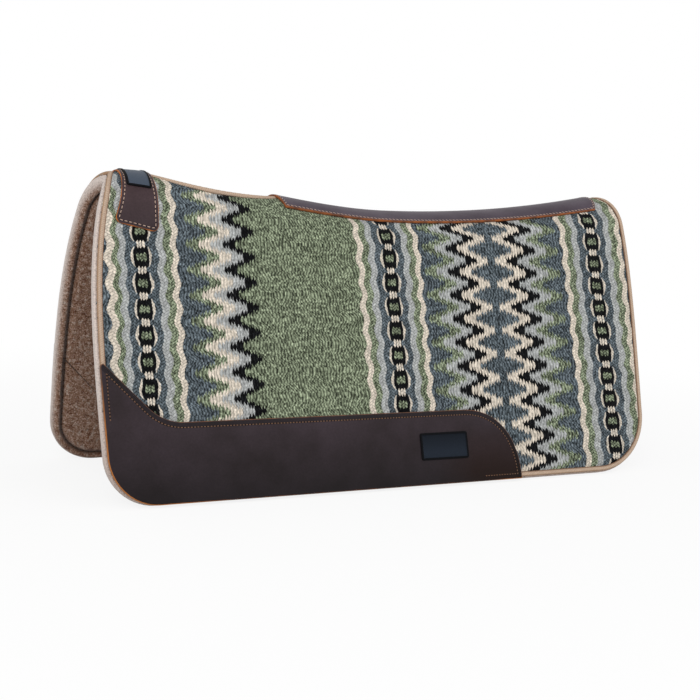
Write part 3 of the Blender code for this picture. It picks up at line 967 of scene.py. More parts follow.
@dataclass(frozen=True)
class StitchRow:
    """Thread sewn along a line, one raised stitch at a time, with dark patches between that paint the shade
    of the needle holes.
    """

    pitch: float = 3.9 * MM
    length: float = 2.7 * MM
    width: float = 1.1 * MM
    height: float = 0.8 * MM
    slant: float = 0.0
    # Size and height of the dark patches that paint the shade of the needle holes
    hole: float = 1.5 * MM
    hole_height: float = 0.24 * MM
    # How far each way along the line a stitch takes its direction from
    aim: float = 0.4 * MM
    segments: int = 8
    rings: int = 6

    def template(self) -> tuple[Array, list]:
        """One stitch of unit half sizes, modelled from a sphere, as vertices and faces."""
        deselect()
        bpy.ops.mesh.primitive_uv_sphere_add(segments=self.segments, ring_count=self.rings, radius=1.0,
                                             rotation=(0.0, math.pi / 2.0, 0.0))
        bpy.ops.object.transform_apply(location=False, rotation=True, scale=False)
        ball = bpy.context.object
        points = np.array([v.co for v in ball.data.vertices])
        faces = [tuple(p.vertices) for p in ball.data.polygons]
        mesh = ball.data
        bpy.data.objects.remove(ball, do_unlink=True)
        bpy.data.meshes.remove(mesh)
        points[:, 0] = np.sign(points[:, 0]) * np.abs(points[:, 0]) ** 0.75
        return points, faces

    def build(self, name: str, line: Array, lay: Layer, materials: Sequence) -> Piece:
        """Sew along a line of flat places.

        Args:
            name: The piece's name.
            line: Flat places, two numbers each, close together.
            lay: Turns flat places and heights into points.
            materials: The thread and the painted shade of the needle holes.

        Returns:
            All the stitches as one piece.
        """
        steps = np.linalg.norm(np.diff(line, axis=0), axis=1)
        along = np.concatenate([[0.0], np.cumsum(steps)])
        count = int(along[-1] / self.pitch)
        middles = (np.arange(count) + 0.5) * along[-1] / count
        shape, shape_faces = self.template()
        points, faces, slots = [], [], []
        for k in range(2 * count - 1):
            is_hole = k % 2 == 1
            at = middles[k // 2] + (along[-1] / count / 2.0 if is_hole else 0.0)
            centre = [np.interp(at, along, line[:, axis]) for axis in (0, 1)]
            ahead = [np.interp(at + self.aim, along, line[:, axis]) for axis in (0, 1)]
            behind = [np.interp(at - self.aim, along, line[:, axis]) for axis in (0, 1)]
            angle = math.atan2(ahead[1] - behind[1], ahead[0] - behind[0])
            angle += 0.0 if is_hole else self.slant
            half_long = (self.hole if is_hole else self.length) / 2.0
            half_wide = (self.hole if is_hole else self.width) / 2.0
            half_high = (self.hole_height if is_hole else self.height) / 2.0
            a, b = shape[:, 0] * half_long, shape[:, 1] * half_wide
            flat_x = centre[0] + a * math.cos(angle) - b * math.sin(angle)
            flat_y = centre[1] + a * math.sin(angle) + b * math.cos(angle)
            start = sum(len(p) for p in points)
            points.append(lay(flat_x, flat_y, shape[:, 2] * half_high))
            faces += [tuple(start + i for i in face) for face in shape_faces]
            slots += [int(is_hole)] * len(shape_faces)
        piece = mesh_piece(name, np.concatenate(points), faces, materials)
        piece.data.polygons.foreach_set("material_index", slots)
        turn_outwards(piece)
        return piece


def offset_line(outline: Array, inset: float, sampling: float = 1.0 * MM) -> Array:
    """The line that runs inside an outline, without the loops that tight corners would make.

    Args:
        outline: Flat places, two numbers each, round the piece with its inside on the left.
        inset: Distance in from the outline.
        sampling: Distance between the line's points.

    Returns:
        Places of the inner line, in the outline's order.
    """
    steps = np.linalg.norm(np.diff(outline, axis=0), axis=1)
    along = np.concatenate([[0.0], np.cumsum(steps)])
    at = np.linspace(0.0, along[-1], int(along[-1] / sampling))
    fine = np.stack([np.interp(at, along, outline[:, axis]) for axis in (0, 1)], axis=-1)
    heading = np.gradient(fine, axis=0)
    heading /= np.maximum(np.linalg.norm(heading, axis=1, keepdims=True), 1e-9)
    inner = fine + inset * np.stack([-heading[:, 1], heading[:, 0]], axis=-1)
    gaps = np.linalg.norm(inner[:, None, :] - fine[None, :, :], axis=-1).min(axis=1)
    return inner[gaps > 0.97 * inset]


class LeatherCut:
    """A piece of leather cut flat, given its thickness, eased at its edges and laid on the pad."""

    thickness: float = 3.0 * MM
    edge_round: float = 0.9 * MM

    def thicken(self, blank: Piece) -> None:
        """Extrude a flat blank upwards, round its upper edge and mark its cut edge.

        Args:
            blank: Flat mesh in XY, whose Z becomes the height.
        """
        for _ in range(2):
            blank.data.materials.append(None)
        pick_only(blank)
        bpy.ops.object.mode_set(mode="EDIT")
        bpy.ops.mesh.select_all(action="SELECT")
        bpy.ops.mesh.extrude_region_move(TRANSFORM_OT_translate={"value": (0.0, 0.0, self.thickness)})
        bpy.ops.object.mode_set(mode="OBJECT")
        mesh = blank.data
        high = 0.5 * self.thickness
        edge_count = {}
        for face in mesh.polygons:
            is_top = all(mesh.vertices[i].co.z > high for i in face.vertices)
            face.select = is_top
            if is_top:
                for key in face.edge_keys:
                    edge_count[key] = edge_count.get(key, 0) + 1
        for face in mesh.polygons:
            heights = [mesh.vertices[i].co.z > high for i in face.vertices]
            face.material_index = 0 if all(heights) or not any(heights) else 1
        self.select_edges(mesh, {key for key, uses in edge_count.items() if uses == 1})
        bpy.ops.object.mode_set(mode="EDIT")
        bpy.ops.mesh.bevel(offset=self.edge_round, segments=3, profile=0.5, clamp_overlap=True, material=1)
        bpy.ops.mesh.select_all(action="SELECT")
        bpy.ops.mesh.normals_make_consistent(inside=False)
        bpy.ops.object.mode_set(mode="OBJECT")

    @staticmethod
    def select_edges(mesh: bpy.types.Mesh, keys: set) -> None:
        """Select only the edges with these vertex pairs.

        Args:
            mesh: The mesh.
            keys: Pairs of vertex numbers.
        """
        clear_selection(mesh)
        for edge in mesh.edges:
            if edge.key in keys:
                edge.select = True
        bpy.context.tool_settings.mesh_select_mode = (False, True, False)

    @staticmethod
    def inset_faces(piece: Piece, faces: Sequence, width: float, depth: float) -> None:
        """Inset some faces of a piece together.

        Args:
            piece: The piece, which is active.
            faces: Its faces.
            width: Width of the strip round them.
            depth: How far they rise, negative to sink.
        """
        clear_selection(piece.data)
        for face in faces:
            face.select = True
        bpy.context.tool_settings.mesh_select_mode = (False, False, True)
        bpy.ops.object.mode_set(mode="EDIT")
        bpy.ops.mesh.inset(thickness=width, depth=depth)
        bpy.ops.object.mode_set(mode="OBJECT")

    @staticmethod
    def wrap(piece: Piece, lay: Layer) -> None:
        """Lay a flat piece on the pad.

        Args:
            piece: Flat mesh with its height in Z.
            lay: Turns flat places and heights into points.
        """
        flat = np.array([v.co for v in piece.data.vertices])
        points = lay(flat[:, 0], flat[:, 1], flat[:, 2])
        piece.data.vertices.foreach_set("co", points.astype(np.float32).ravel())
        piece.data.update()
        turn_outwards(piece)

    @staticmethod
    def finish(piece: Piece, name: str, materials: Sequence) -> None:
        """Name, dress and smooth a piece.

        Args:
            piece: The wrapped piece.
            name: The piece's name.
            materials: The leather's face and its cut edge.
        """
        piece.name = name
        piece.data.name = name
        for index, material in enumerate(materials):
            piece.data.materials[index] = material
        pick_only(piece)
        bpy.ops.object.shade_smooth_by_angle(angle=math.radians(40.0))

    @staticmethod
    def grid_blank(columns: int, rows: int, shape: Callable) -> Piece:
        """A flat blank made from a grid.

        Args:
            columns: Squares along its first direction.
            rows: Squares along its second.
            shape: Turns shares of both directions, from -1 to 1, into flat places.

        Returns:
            The blank.
        """
        deselect()
        bpy.ops.mesh.primitive_grid_add(x_subdivisions=columns, y_subdivisions=rows, size=2.0)
        blank = bpy.context.object
        share = np.array([v.co for v in blank.data.vertices])
        flat = np.zeros(share.shape)
        flat[:, 0], flat[:, 1] = shape(share[:, 0], share[:, 1])
        blank.data.vertices.foreach_set("co", flat.astype(np.float32).ravel())
        return blank


@dataclass(frozen=True)
class WearLeather(LeatherCut):
    """The leather low on a flap, with a diagonal front, a level top and a curved rear end."""

    edge_inset: float = 0.0022
    foot_inset: float = -0.0006
    tip_height: float = 0.166
    tip_round: float = 0.004
    height: float = 0.0945
    slope: float = math.radians(46.6)
    fillet: float = 0.058
    curve_x: float = 0.086
    end_x: float = 0.171
    curve_power: float = 2.3
    stitch_inset: float = 6.6 * MM
    front_run_foot: float = 0.098
    foot_run_x: float = 0.112
    border: float = 1.5 * MM

    def top_line(self) -> Array:
        """Places from the front tip along the diagonal, the top and the rear curve."""
        tip_foot = self.tip_height - self.tip_round
        tip_x = float(FORM.front_line(tip_foot)) + self.edge_inset + self.tip_round
        turn = np.linspace(0.0, math.pi / 2.0, 6)
        tip = np.stack([tip_x - self.tip_round * np.cos(turn),
                        tip_foot + self.tip_round * np.sin(turn)], -1)
        meet_x = tip_x + (self.tip_height - self.height) / math.tan(self.slope)
        fillet_end = meet_x + self.fillet * math.tan(self.slope / 2.0)
        turn = np.linspace(self.slope, 0.0, 16)
        bend = np.stack([fillet_end - self.fillet * np.sin(turn),
                         self.height + self.fillet * (1.0 - np.cos(turn))], -1)
        turn = np.linspace(0.0, math.pi / 2.0, 40)
        power = 2.0 / self.curve_power
        curve = np.stack([self.curve_x + (self.end_x - self.curve_x) * np.sin(turn) ** power,
                          self.foot_inset + (self.height - self.foot_inset) * np.cos(turn) ** power], -1)
        return np.concatenate([tip, bend, curve])

    def outline(self) -> Array:
        """Places round the piece, from the front corner's start back along the top to the bottom."""
        r = FORM.front_corner
        centre = float(FORM.front_line(r)) + r
        turn = np.linspace(0.0, math.pi / 2.0, 18)
        corner = np.stack([centre - (r - self.edge_inset) * np.sin(turn),
                           r - (r - self.foot_inset) * np.cos(turn)], -1)
        v = np.linspace(r, self.tip_height - self.tip_round, 12)[1:-1]
        front = np.stack([FORM.front_line(v) + self.edge_inset, v], -1)
        return np.concatenate([corner, front, self.top_line()])

    def stitch_line(self) -> Array:
        """Places of the seam: from the tip, along the top, round the rear end and a little way back."""
        loop = self.outline()[::-1]
        closed = np.concatenate([[[self.foot_run_x, self.foot_inset]], loop, loop[-1:]])
        line = offset_line(closed, self.stitch_inset)
        low_front = (line[:, 0] < FORM.front_foot_x + 0.05) & (line[:, 1] < self.front_run_foot)
        low = line[:, 1] < self.foot_inset + 1.2 * self.stitch_inset
        along_foot = low & (line[:, 0] < self.foot_run_x)
        return line[~(low_front | along_foot)]

    def build(self, side: Side, materials: Sequence) -> Piece:
        """Cut the outline, thicken it and lay it on the flap.

        Args:
            side: The flap.
            materials: The leather's face and its cut edge.

        Returns:
            The leather.
        """
        outline = self.outline()
        deselect()
        bpy.ops.mesh.primitive_circle_add(vertices=len(outline), radius=1.0, fill_type="NGON")
        blank = bpy.context.object
        flat = np.concatenate([outline, np.zeros((len(outline), 1))], axis=1)
        blank.data.vertices.foreach_set("co", flat.astype(np.float32).ravel())
        self.thicken(blank)
        mesh = blank.data
        largest = max((f for f in mesh.polygons if f.center.z > 0.9 * self.thickness), key=lambda f: f.area)
        self.inset_faces(blank, [largest], self.border, 0.0)
        set_attribute(blank, "cut", np.array([v.co for v in mesh.vertices]))
        self.wrap(blank, lambda x, v, h: FORM.place(x, v, FORM.leather_under - h, side))
        self.finish(blank, f"wear_leather_{side.word}", materials)
        return blank


class StrapLeather(LeatherCut):
    """A leather laid across the spine, cut from a grid and sewn all round."""

    name: str
    stitch_inset: float
    columns: int
    rows: int
    seam_samples: int

    def shape(self, first: Array, second: Array) -> Places:
        """Flat places from shares of the grid's two directions."""
        raise NotImplementedError

    def stitch_line(self) -> Array:
        """Places of the seam all round."""
        t = np.linspace(-1.0, 1.0, self.seam_samples)
        one = np.ones(t.shape)
        sides = [(t, -one), (one, t), (-t, one), (-one, -t)]
        outline = np.concatenate([np.stack(self.shape(*side), axis=-1) for side in sides])
        return offset_line(outline, self.stitch_inset)

    def build(self, materials: Sequence) -> Piece:
        """Cut, thicken and lay the leather over the spine.

        Args:
            materials: The leather's face and its cut edge.

        Returns:
            The leather.
        """
        blank = self.grid_blank(self.columns, self.rows, self.shape)
        self.thicken(blank)
        self.wrap(blank, lambda x, w, h: FORM.across(x, w, FORM.leather_under - h))
        self.finish(blank, self.name, materials)
        return blank


@dataclass(frozen=True)
class SpineLeather(StrapLeather):
    """The long leather over the spine seam, with bowed ends."""

    name: str = "spine_leather"
    front_x: float = -0.1366
    rear_x: float = 0.366
    half_width: float = 0.0425
    front_bow: float = 0.0016
    rear_bow: float = 0.012
    stitch_inset: float = 2.9 * MM
    columns: int = 120
    rows: int = 26
    seam_samples: int = 200

    def shape(self, along: Array, across: Array) -> Places:
        """Flat places from shares along and across the leather.

        Args:
            along: Shares along, from -1 to 1.
            across: Shares across.

        Returns:
            Flat places.
        """
        front = self.front_x + self.front_bow * across ** 2
        rear = self.rear_x - self.rear_bow * across ** 2
        return front + (rear - front) * (along + 1.0) / 2.0, self.half_width * across


@dataclass(frozen=True)
class WitherPatch(StrapLeather):
    """The leather tab over the withers, flared towards its two ends."""

    name: str = "wither_patch"
    x: float = -0.3265
    drop: float = 0.099
    half_width: float = 0.0195
    flare: float = 0.0075
    sweep: float = 0.0105
    end_round: float = 0.009
    stitch_inset: float = 3.9 * MM
    columns: int = 16
    rows: int = 84
    seam_samples: int = 160
    thickness: float = 2.0 * MM

    def place(self, offset: Array, w: Array) -> Places:
        """Flat places offset from the tab's middle line, square to the line as it sweeps forward.

        Args:
            offset: Offsets along the spine.
            w: Lengths across it.

        Returns:
            Flat places.
        """
        reach = w / self.drop
        lean = 2.0 * self.sweep * reach / self.drop
        return self.x - self.sweep * reach ** 2 + offset, w + lean * offset

    def shape(self, across: Array, along: Array) -> Places:
        """Flat places from shares across and along the tab, with rounded ends.

        Args:
            across: Shares across, from -1 to 1.
            along: Shares along.

        Returns:
            Flat places.
        """
        eased = np.sign(along) * (1.0 - (1.0 - np.abs(along)) ** 1.25)
        w = self.drop * eased
        half = self.half_width + self.flare * (np.abs(w) / self.drop) ** 2
        past = np.clip(np.abs(w) - (self.drop - self.end_round), 0.0, self.end_round)
        half = half - (self.end_round - np.sqrt(self.end_round ** 2 - past ** 2))
        return self.place(half * across, w)


@dataclass(frozen=True)
class BareLabel(LeatherCut):
    """A bare moulded label with a raised frame, sewn on leather."""

    name: str
    middle: tuple
    half_size: tuple
    divisions: tuple
    corner: float = 2.6 * MM
    frame: float = 2.6 * MM
    recess: float = 0.7 * MM
    step: float = 0.5 * MM
    thickness: float = 1.2 * MM
    edge_round: float = 0.4 * MM

    def shape(self, along: Array, across: Array) -> Places:
        """Flat places from shares, with rows of the grid drawn to the frame and rounded corners.

        Args:
            along: Shares along, from -1 to 1.
            across: Shares across.

        Returns:
            Flat places.
        """
        flat = []
        for share, half, count in zip((along, across), self.half_size, self.divisions):
            inner = 1.0 - 2.0 / count
            within = share / inner * (half - self.frame)
            beyond = half - self.frame + (np.abs(share) - inner) / (1.0 - inner) * self.frame
            flat.append(np.where(np.abs(share) <= inner + 1e-6, within, np.sign(share) * beyond))
        reach = [np.maximum(np.abs(f) - (half - self.corner), 0.0) for f, half in zip(flat, self.half_size)]
        length = np.maximum(np.hypot(*reach), 1e-9)
        over = np.where((reach[0] > 0.0) & (reach[1] > 0.0), np.minimum(self.corner / length, 1.0), 1.0)
        for axis in (0, 1):
            base = np.abs(flat[axis]) - reach[axis]
            flat[axis] = np.sign(flat[axis]) * (base + reach[axis] * over)
        return self.middle[0] + flat[0], self.middle[1] + flat[1]

    def build(self, lay: Layer, materials: Sequence) -> Piece:
        """Mould the label and lay it on its leather.

        Args:
            lay: Turns flat places and heights into points.
            materials: The recessed face and the frame.

        Returns:
            The label.
        """
        blank = self.grid_blank(*self.divisions, self.shape)
        self.thicken(blank)
        mesh = blank.data
        sunk = []
        for face in mesh.polygons:
            offset = [abs(face.center[axis] - self.middle[axis]) for axis in (0, 1)]
            within = all(o < h - self.frame for o, h in zip(offset, self.half_size))
            is_sunk = within and face.center.z > 0.9 * self.thickness
            face.material_index = 0 if is_sunk else 1
            if is_sunk:
                sunk.append(face)
        self.inset_faces(blank, sunk, self.step, -self.recess)
        self.wrap(blank, lay)
        self.finish(blank, self.name, materials)
        return blank


@dataclass(frozen=True)
class WovenWool:
    """Dry wool yarn woven in slanted strands, striped in natural and dyed colours, with painted shade in
    the gaps and painted highlights on the crests.
    """

    slate: str = "#464e53"
    sage: str = "#656d59"
    grey: str = "#999b9a"
    cream: str = "#c1b7a9"
    black: str = "#07080a"
    # Widths in columns and heights in rows; one column is about 4.3 mm and one row about 32 mm
    middle_column: float = 78.0
    mirror_column: float = 112.9
    front_pair: float = 1.85
    front_edges: tuple = (19.1, 22.8, 26.5, 30.2, 33.9)
    mirror_pair: float = 1.95
    mirror_edges: tuple = (1.3, 5.2, 9.1, 13.0, 16.9)
    zigzag_turns: tuple = (0.085, 0.425)
    zigzag_pairs: float = 3.0
    stripe_edges: tuple = (4.6, 6.7, 8.65, 10.55)
    zigzag_tooth: float = 0.33
    bead_tooth: float = 0.2
    heart_lozenge: float = 1.0
    bar_lozenge: float = 0.86
    ramp_span: float = 48.0
    ground_start: float = 0.42
    ground_floats: float = 12.0
    ground_drift: float = 1.0
    zigzag_drift: float = 0.3
    ground_jog: float = 0.5
    drift_width: float = 3.0
    stripe_strands: float = 8.0
    strand_lean: float = 0.65
    wander_columns: float = 0.5
    wander_rows: float = 0.07
    wander_scale: tuple = (0.45, 3.0, 0.0)
    # Notches to a row at the edges of the stripes, and twice their depth in columns
    notches: float = 8.0
    notch_depth: float = 0.4
    # Bows of a bracket's outer and inner lines and of a bead, and the columns that they reach
    chain_bows: tuple = (5.7, 2.2, 3.7)
    chain_reach: tuple = (3.02, 2.32, 2.3)
    # Rows from a bead's middle to the ends of brackets, beads and hearts and the start of bars
    bracket_end: float = 0.39
    bead_end: float = 0.42
    heart_end: float = 0.125
    bar_start: float = 0.38
    # Shares of a lozenge that hearts and bars fill
    heart_share: float = 0.44
    bar_share: float = 0.41
    # Green levels between which a yarn counts as more and more pale
    pale_levels: tuple = (0.16, 0.34)
    # Weights of a float's ends, crest, flecks and chance, in the ground and in the stripes; the ends and
    # crest paint shade and highlight
    weights: tuple = ((0.15, 1.4), (-0.6, -0.3), (3.2, 2.6), (1.0, 0.8))
    contrast: float = 0.52
    pale_contrast: float = 0.36
    darkest: float = 0.15
    light_power: float = 2.2
    # Flecks of fibre to a column and to a float
    flecks: tuple = (2.6, 0.9, 1.0)

    def material(self, chains: tuple) -> Material:
        """Build the material.

        Args:
            chains: Column numbers of the bead chains.

        Returns:
            The material, which reads the column and row of the cloth attribute.
        """
        material, add, shader = new_material("woven_wool")
        cloth = add("Attribute", out="Vector", attribute_name="cloth")
        parts = add("SeparateXYZ", self.wandering(add, cloth)).node.outputs
        column, row = parts["X"], parts["Y"]
        from_bead = add("Math:PINGPONG", row, 0.5)

        front, front_yarn = self.front_zigzag(add, column, from_bead)
        mirrored, mirrored_yarn = self.mirrored_zigzag(add, column, from_bead)
        past_middle = add("Math:GREATER_THAN", column, self.middle_column)
        ground = add("Mix", past_middle, front, mirrored, data_type="RGBA")
        yarn = add("Mix", past_middle, front_yarn, mirrored_yarn)

        away = None
        for chain in chains:
            offset = add("Math:SUBTRACT", column, chain)
            distance = add("Math:ABSOLUTE", offset)
            away = distance if away is None else add("Math:MINIMUM", away, distance)
        striped = self.stripes(add, ground, away, row)
        colour = self.bead_chain(add, striped, away, from_bead)
        self.dress(add, shader, colour, cloth, away, yarn)
        return material

    def wandering(self, add: Adder, cloth: Socket) -> Socket:
        """Columns and rows that wander a little, as on a hand loom.

        Args:
            add: Adds a node.
            cloth: Columns and rows.

        Returns:
            The moved columns and rows.
        """
        spread = add("VectorMath:MULTIPLY", cloth, self.wander_scale)
        drift = add("TexNoise", Vector=spread, Scale=1.0, Detail=2.0, out="Color")
        centred = add("VectorMath:SUBTRACT", drift, (0.5, 0.5, 0.5))
        reach = (2.0 * self.wander_columns, 2.0 * self.wander_rows, 0.0)
        return add("VectorMath:MULTIPLY_ADD", centred, reach, cloth)

    @staticmethod
    def teeth(add: Adder, place: Socket, pitch: float, tooth: float, ) -> tuple[Socket, Socket]:
        """Pointed ends of the yarns at a colour change.

        Args:
            add: Adds a node.
            place: Places across the teeth, zero mid-tooth.
            pitch: Width of a tooth.
            tooth: Twice a tooth's height.

        Returns:
            The spike, high mid-tooth, and the distance from mid-tooth as a share of the pitch.
        """
        scaled = add("Math:MULTIPLY", place, 1.0 / pitch)
        gap = add("Math:PINGPONG", scaled, 0.5)
        return add("Math:MULTIPLY_ADD", gap, -tooth, 0.25 * tooth), gap

    def zigzag(self, add: Adder, pair: Socket, from_bead: Socket,
               width: float, swing: float, shift: float) -> tuple[Socket, Socket]:
        """Step the zigzags by pairs of yarns, with teeth.

        Args:
            add: Adds a node.
            pair: Columns from the first pair's edge.
            from_bead: Share of a row from the nearest bead.
            width: Columns in a pair.
            swing: Columns from turn to turn.
            shift: Columns added to all.

        Returns:
            Places across the zigzags and yarn numbers.
        """
        step = add("Math:SNAP", pair, width)
        yarn = add("Math:MULTIPLY_ADD", pair, 2.0 / width, -0.5)
        spike, _ = self.teeth(add, yarn, 1.0, self.zigzag_tooth)
        toothed = add("Math:ADD", from_bead, spike)
        first, last = self.zigzag_turns
        blunt = add("MapRange", toothed, first, last, shift, shift + swing)
        return add("Math:ADD", step, blunt), yarn

    def front_zigzag(self, add: Adder, column: Socket, from_bead: Socket) -> tuple[Socket, Socket]:
        """Colour and yarns of the zigzags behind the front chain, which run out into the plain field.

        Args:
            add: Adds a node.
            column: Columns.
            from_bead: Share of a row from the nearest bead.

        Returns:
            The colour and the yarns.
        """
        offset = self.front_edges[0] % self.front_pair
        pair = add("Math:SUBTRACT", column, offset)
        width = self.front_pair
        place, yarn = self.zigzag(add, pair, from_bead, width, self.zigzag_pairs * width,
                                  offset + 0.5 * width)
        return self.bands(add, place, self.front_edges,
                          (self.slate, self.sage, self.cream, self.grey, self.black, self.sage)), yarn

    def mirrored_zigzag(self, add: Adder, column: Socket, from_bead: Socket) -> tuple[Socket, Socket]:
        """Colour and yarns of the zigzags between the other chains, mirrored about the slate diamonds.

        Args:
            add: Adds a node.
            column: Columns.
            from_bead: Share of a row from the nearest bead.

        Returns:
            The colour and the yarns.
        """
        offset = add("Math:SUBTRACT", column, self.mirror_column)
        away = add("Math:ABSOLUTE", offset)
        lead = self.mirror_pair - self.mirror_edges[0]
        pair = add("Math:ADD", away, lead)
        width = self.mirror_pair
        place, yarn = self.zigzag(add, pair, from_bead, width, -self.zigzag_pairs * width,
                                  0.5 * width - lead)
        return self.bands(add, place, self.mirror_edges,
                          (self.slate, self.cream, self.black, self.grey, self.sage, self.slate)), yarn

    def bands(self, add: Adder, place: Socket, edges: tuple, colours: tuple) -> Socket:
        """Bands of plain colour.

        Args:
            add: Adds a node.
            place: Places across the bands, in columns.
            edges: Where the colour changes.
            colours: One more than the edges, or as many.

        Returns:
            The colour.
        """
        scaled = add("Math:MULTIPLY", place, 1.0 / self.ramp_span)
        stops = [(0.0, linear(colours[0]))]
        stops += [(edge / self.ramp_span, linear(colour)) for edge, colour in zip(edges, colours[1:])]
        node = add("ValToRGB", scaled, stops=stops).node
        node.color_ramp.interpolation = "CONSTANT"
        return node.outputs[0]

    def stripes(self, add: Adder, ground: Socket, away: Socket, row: Socket) -> Socket:
        """Lay the wavy stripes beside each chain over the ground.

        Args:
            add: Adds a node.
            ground: Colour under them.
            away: Columns from the nearest chain.
            row: Rows.

        Returns:
            The colour.
        """
        notch = add("Math:MULTIPLY", row, self.notches)
        notch = add("Math:PINGPONG", notch, 0.5)
        rough = add("Math:MULTIPLY_ADD", notch, self.notch_depth, away)
        rough = add("Math:SUBTRACT", rough, 0.25 * self.notch_depth)
        striped = self.bands(add, rough, self.stripe_edges,
                             (self.slate, self.grey, self.sage, self.cream, self.cream))
        outside = add("Math:GREATER_THAN", rough, self.stripe_edges[-1])
        return add("Mix", outside, striped, ground, data_type="RGBA")

    def bead_chain(self, add: Adder, under: Socket, away: Socket, from_bead: Socket) -> Socket:
        """Lay the chain over the stripes: cream brackets, black beads, green hearts and cream bars.

        Args:
            add: Adds a node.
            under: Colour under it.
            away: Columns from the nearest chain.
            from_bead: Share of a row from the nearest bead.

        Returns:
            The colour.
        """
        squared = add("Math:POWER", from_bead, 2.0)
        heart_spike, heart_gap = self.teeth(add, away, self.heart_lozenge, self.bead_tooth)
        bar_spike, bar_gap = self.teeth(add, away, self.bar_lozenge, self.bead_tooth)
        heart = add("Math:SUBTRACT", from_bead, heart_spike)
        bar = add("Math:ADD", from_bead, bar_spike)
        outer, inner, barrel = (add("Math:MULTIPLY_ADD", squared, bow, away) for bow in self.chain_bows)
        outer_reach, inner_reach, barrel_reach = self.chain_reach
        under_limit, over_limit = "LESS_THAN", "GREATER_THAN"
        layers = (
            (self.cream, (outer, outer_reach, under_limit), (inner, inner_reach, over_limit),
             (from_bead, self.bracket_end, under_limit)),
            (self.black, (barrel, barrel_reach, under_limit), (from_bead, self.bead_end, under_limit)),
            (self.sage, (away, 1.5 * self.heart_lozenge, under_limit), (heart, self.heart_end, under_limit),
             (heart_gap, self.heart_share, under_limit)),
            (self.cream, (away, 1.5 * self.bar_lozenge, under_limit), (bar, self.bar_start, over_limit),
             (bar_gap, self.bar_share, under_limit)),
        )
        colour = under
        for code, *tests in layers:
            mask = 1.0
            for socket, limit, test in tests:
                passed = add("Math", socket, limit, operation=test)
                mask = add("Math:MULTIPLY", passed, mask)
            colour = add("Mix", mask, colour, linear(code), data_type="RGBA")
        return colour

    def floats(self, add: Adder, row: Socket) -> Socket:
        """Count the ground's floats of yarn: in each row one long one and many short ones.

        Args:
            add: Adds a node.
            row: Rows.

        Returns:
            Numbers of floats, with shares.
        """
        shifted = add("Math:SUBTRACT", row, self.ground_start)
        whole = add("Math:FLOOR", shifted)
        share = add("Math:SUBTRACT", shifted, whole)
        long = add("Math:MULTIPLY", share, 0.5 * self.ground_floats)
        short = add("Math:MULTIPLY_ADD", share, self.ground_floats, -1.0)
        count = add("Math:MAXIMUM", long, short)
        return add("Math:MULTIPLY_ADD", whole, self.ground_floats - 1.0, count)

    def braid(self, add: Adder, row: Socket, across: Socket, number: Socket) -> Socket:
        """Count the stripes' strands, which lean to and fro from column to column.

        Args:
            add: Adds a node.
            row: Rows.
            across: Places across the yarns.
            number: Yarn numbers.

        Returns:
            Numbers of strands, with shares.
        """
        odd = add("Math:PINGPONG", number, 1.0)
        way = add("Math:MULTIPLY_ADD", odd, -2.0 * self.strand_lean, self.strand_lean)
        share = add("Math:SUBTRACT", across, number)
        count = add("Math:MULTIPLY", odd, 0.5 + self.strand_lean)
        count = add("Math:MULTIPLY_ADD", row, self.stripe_strands, count)
        return add("Math:MULTIPLY_ADD", way, share, count)

    def dress(self, add: Adder, shader: Node, colour: Socket,
              cloth: Socket, away: Socket, yarn: Socket) -> None:
        """Shade the yarns: loose floats in the ground, braid in the stripes, painted shade in the gaps and
        painted highlights on the crests.

        Args:
            add: Adds a node.
            shader: The shader.
            colour: The pattern.
            cloth: Columns and rows.
            away: Columns from the nearest chain.
            yarn: The zigzags' yarns.
        """
        parts = add("SeparateXYZ", cloth).node.outputs
        striped = add("Math:LESS_THAN", away, self.stripe_edges[-1])
        brightness = add("SeparateColor", colour, out="Green")
        plain = add("Math:LESS_THAN", brightness, 0.2)
        own = add("Math:MAXIMUM", striped, plain)
        strand = add("Mix", own, yarn, parts["X"])
        across = add("Math:ADD", strand, 0.5)
        number = add("Math:FLOOR", across)
        jog = add("TexWhiteNoise", W=number, noise_dimensions="1D")
        loose = add("Math:MULTIPLY_ADD", jog, self.ground_jog, self.floats(add, parts["Y"]))
        along = add("Mix", striped, loose, self.braid(add, parts["Y"], across, number))
        dash = add("Math:FLOOR", along)
        key = add("CombineXYZ", number, dash, striped)
        chance = add("TexWhiteNoise", Vector=key, noise_dimensions="3D")
        run = add("Math:SNAP", across, self.drift_width)
        run_key = add("CombineXYZ", run, dash, 5.0)
        drift = add("TexWhiteNoise", Vector=run_key, noise_dimensions="3D")
        drift = add("Math:SUBTRACT", drift, 0.5)
        tilt = add("Math:MULTIPLY_ADD", drift, 0.7, -0.1)
        share = add("Math:FRACT", along)
        drift = add("Math:MULTIPLY_ADD", tilt, share, drift)
        loose = add("MapRange", brightness, *self.pale_levels, self.ground_drift, self.zigzag_drift)
        moved = add("Math:MULTIPLY_ADD", drift, loose, across)
        turn = add("Math:MULTIPLY", moved, 2.0 * math.pi)
        # Painted shade in the gaps between strands, and a painted highlight on their crests
        crest = add("Math:COSINE", turn)
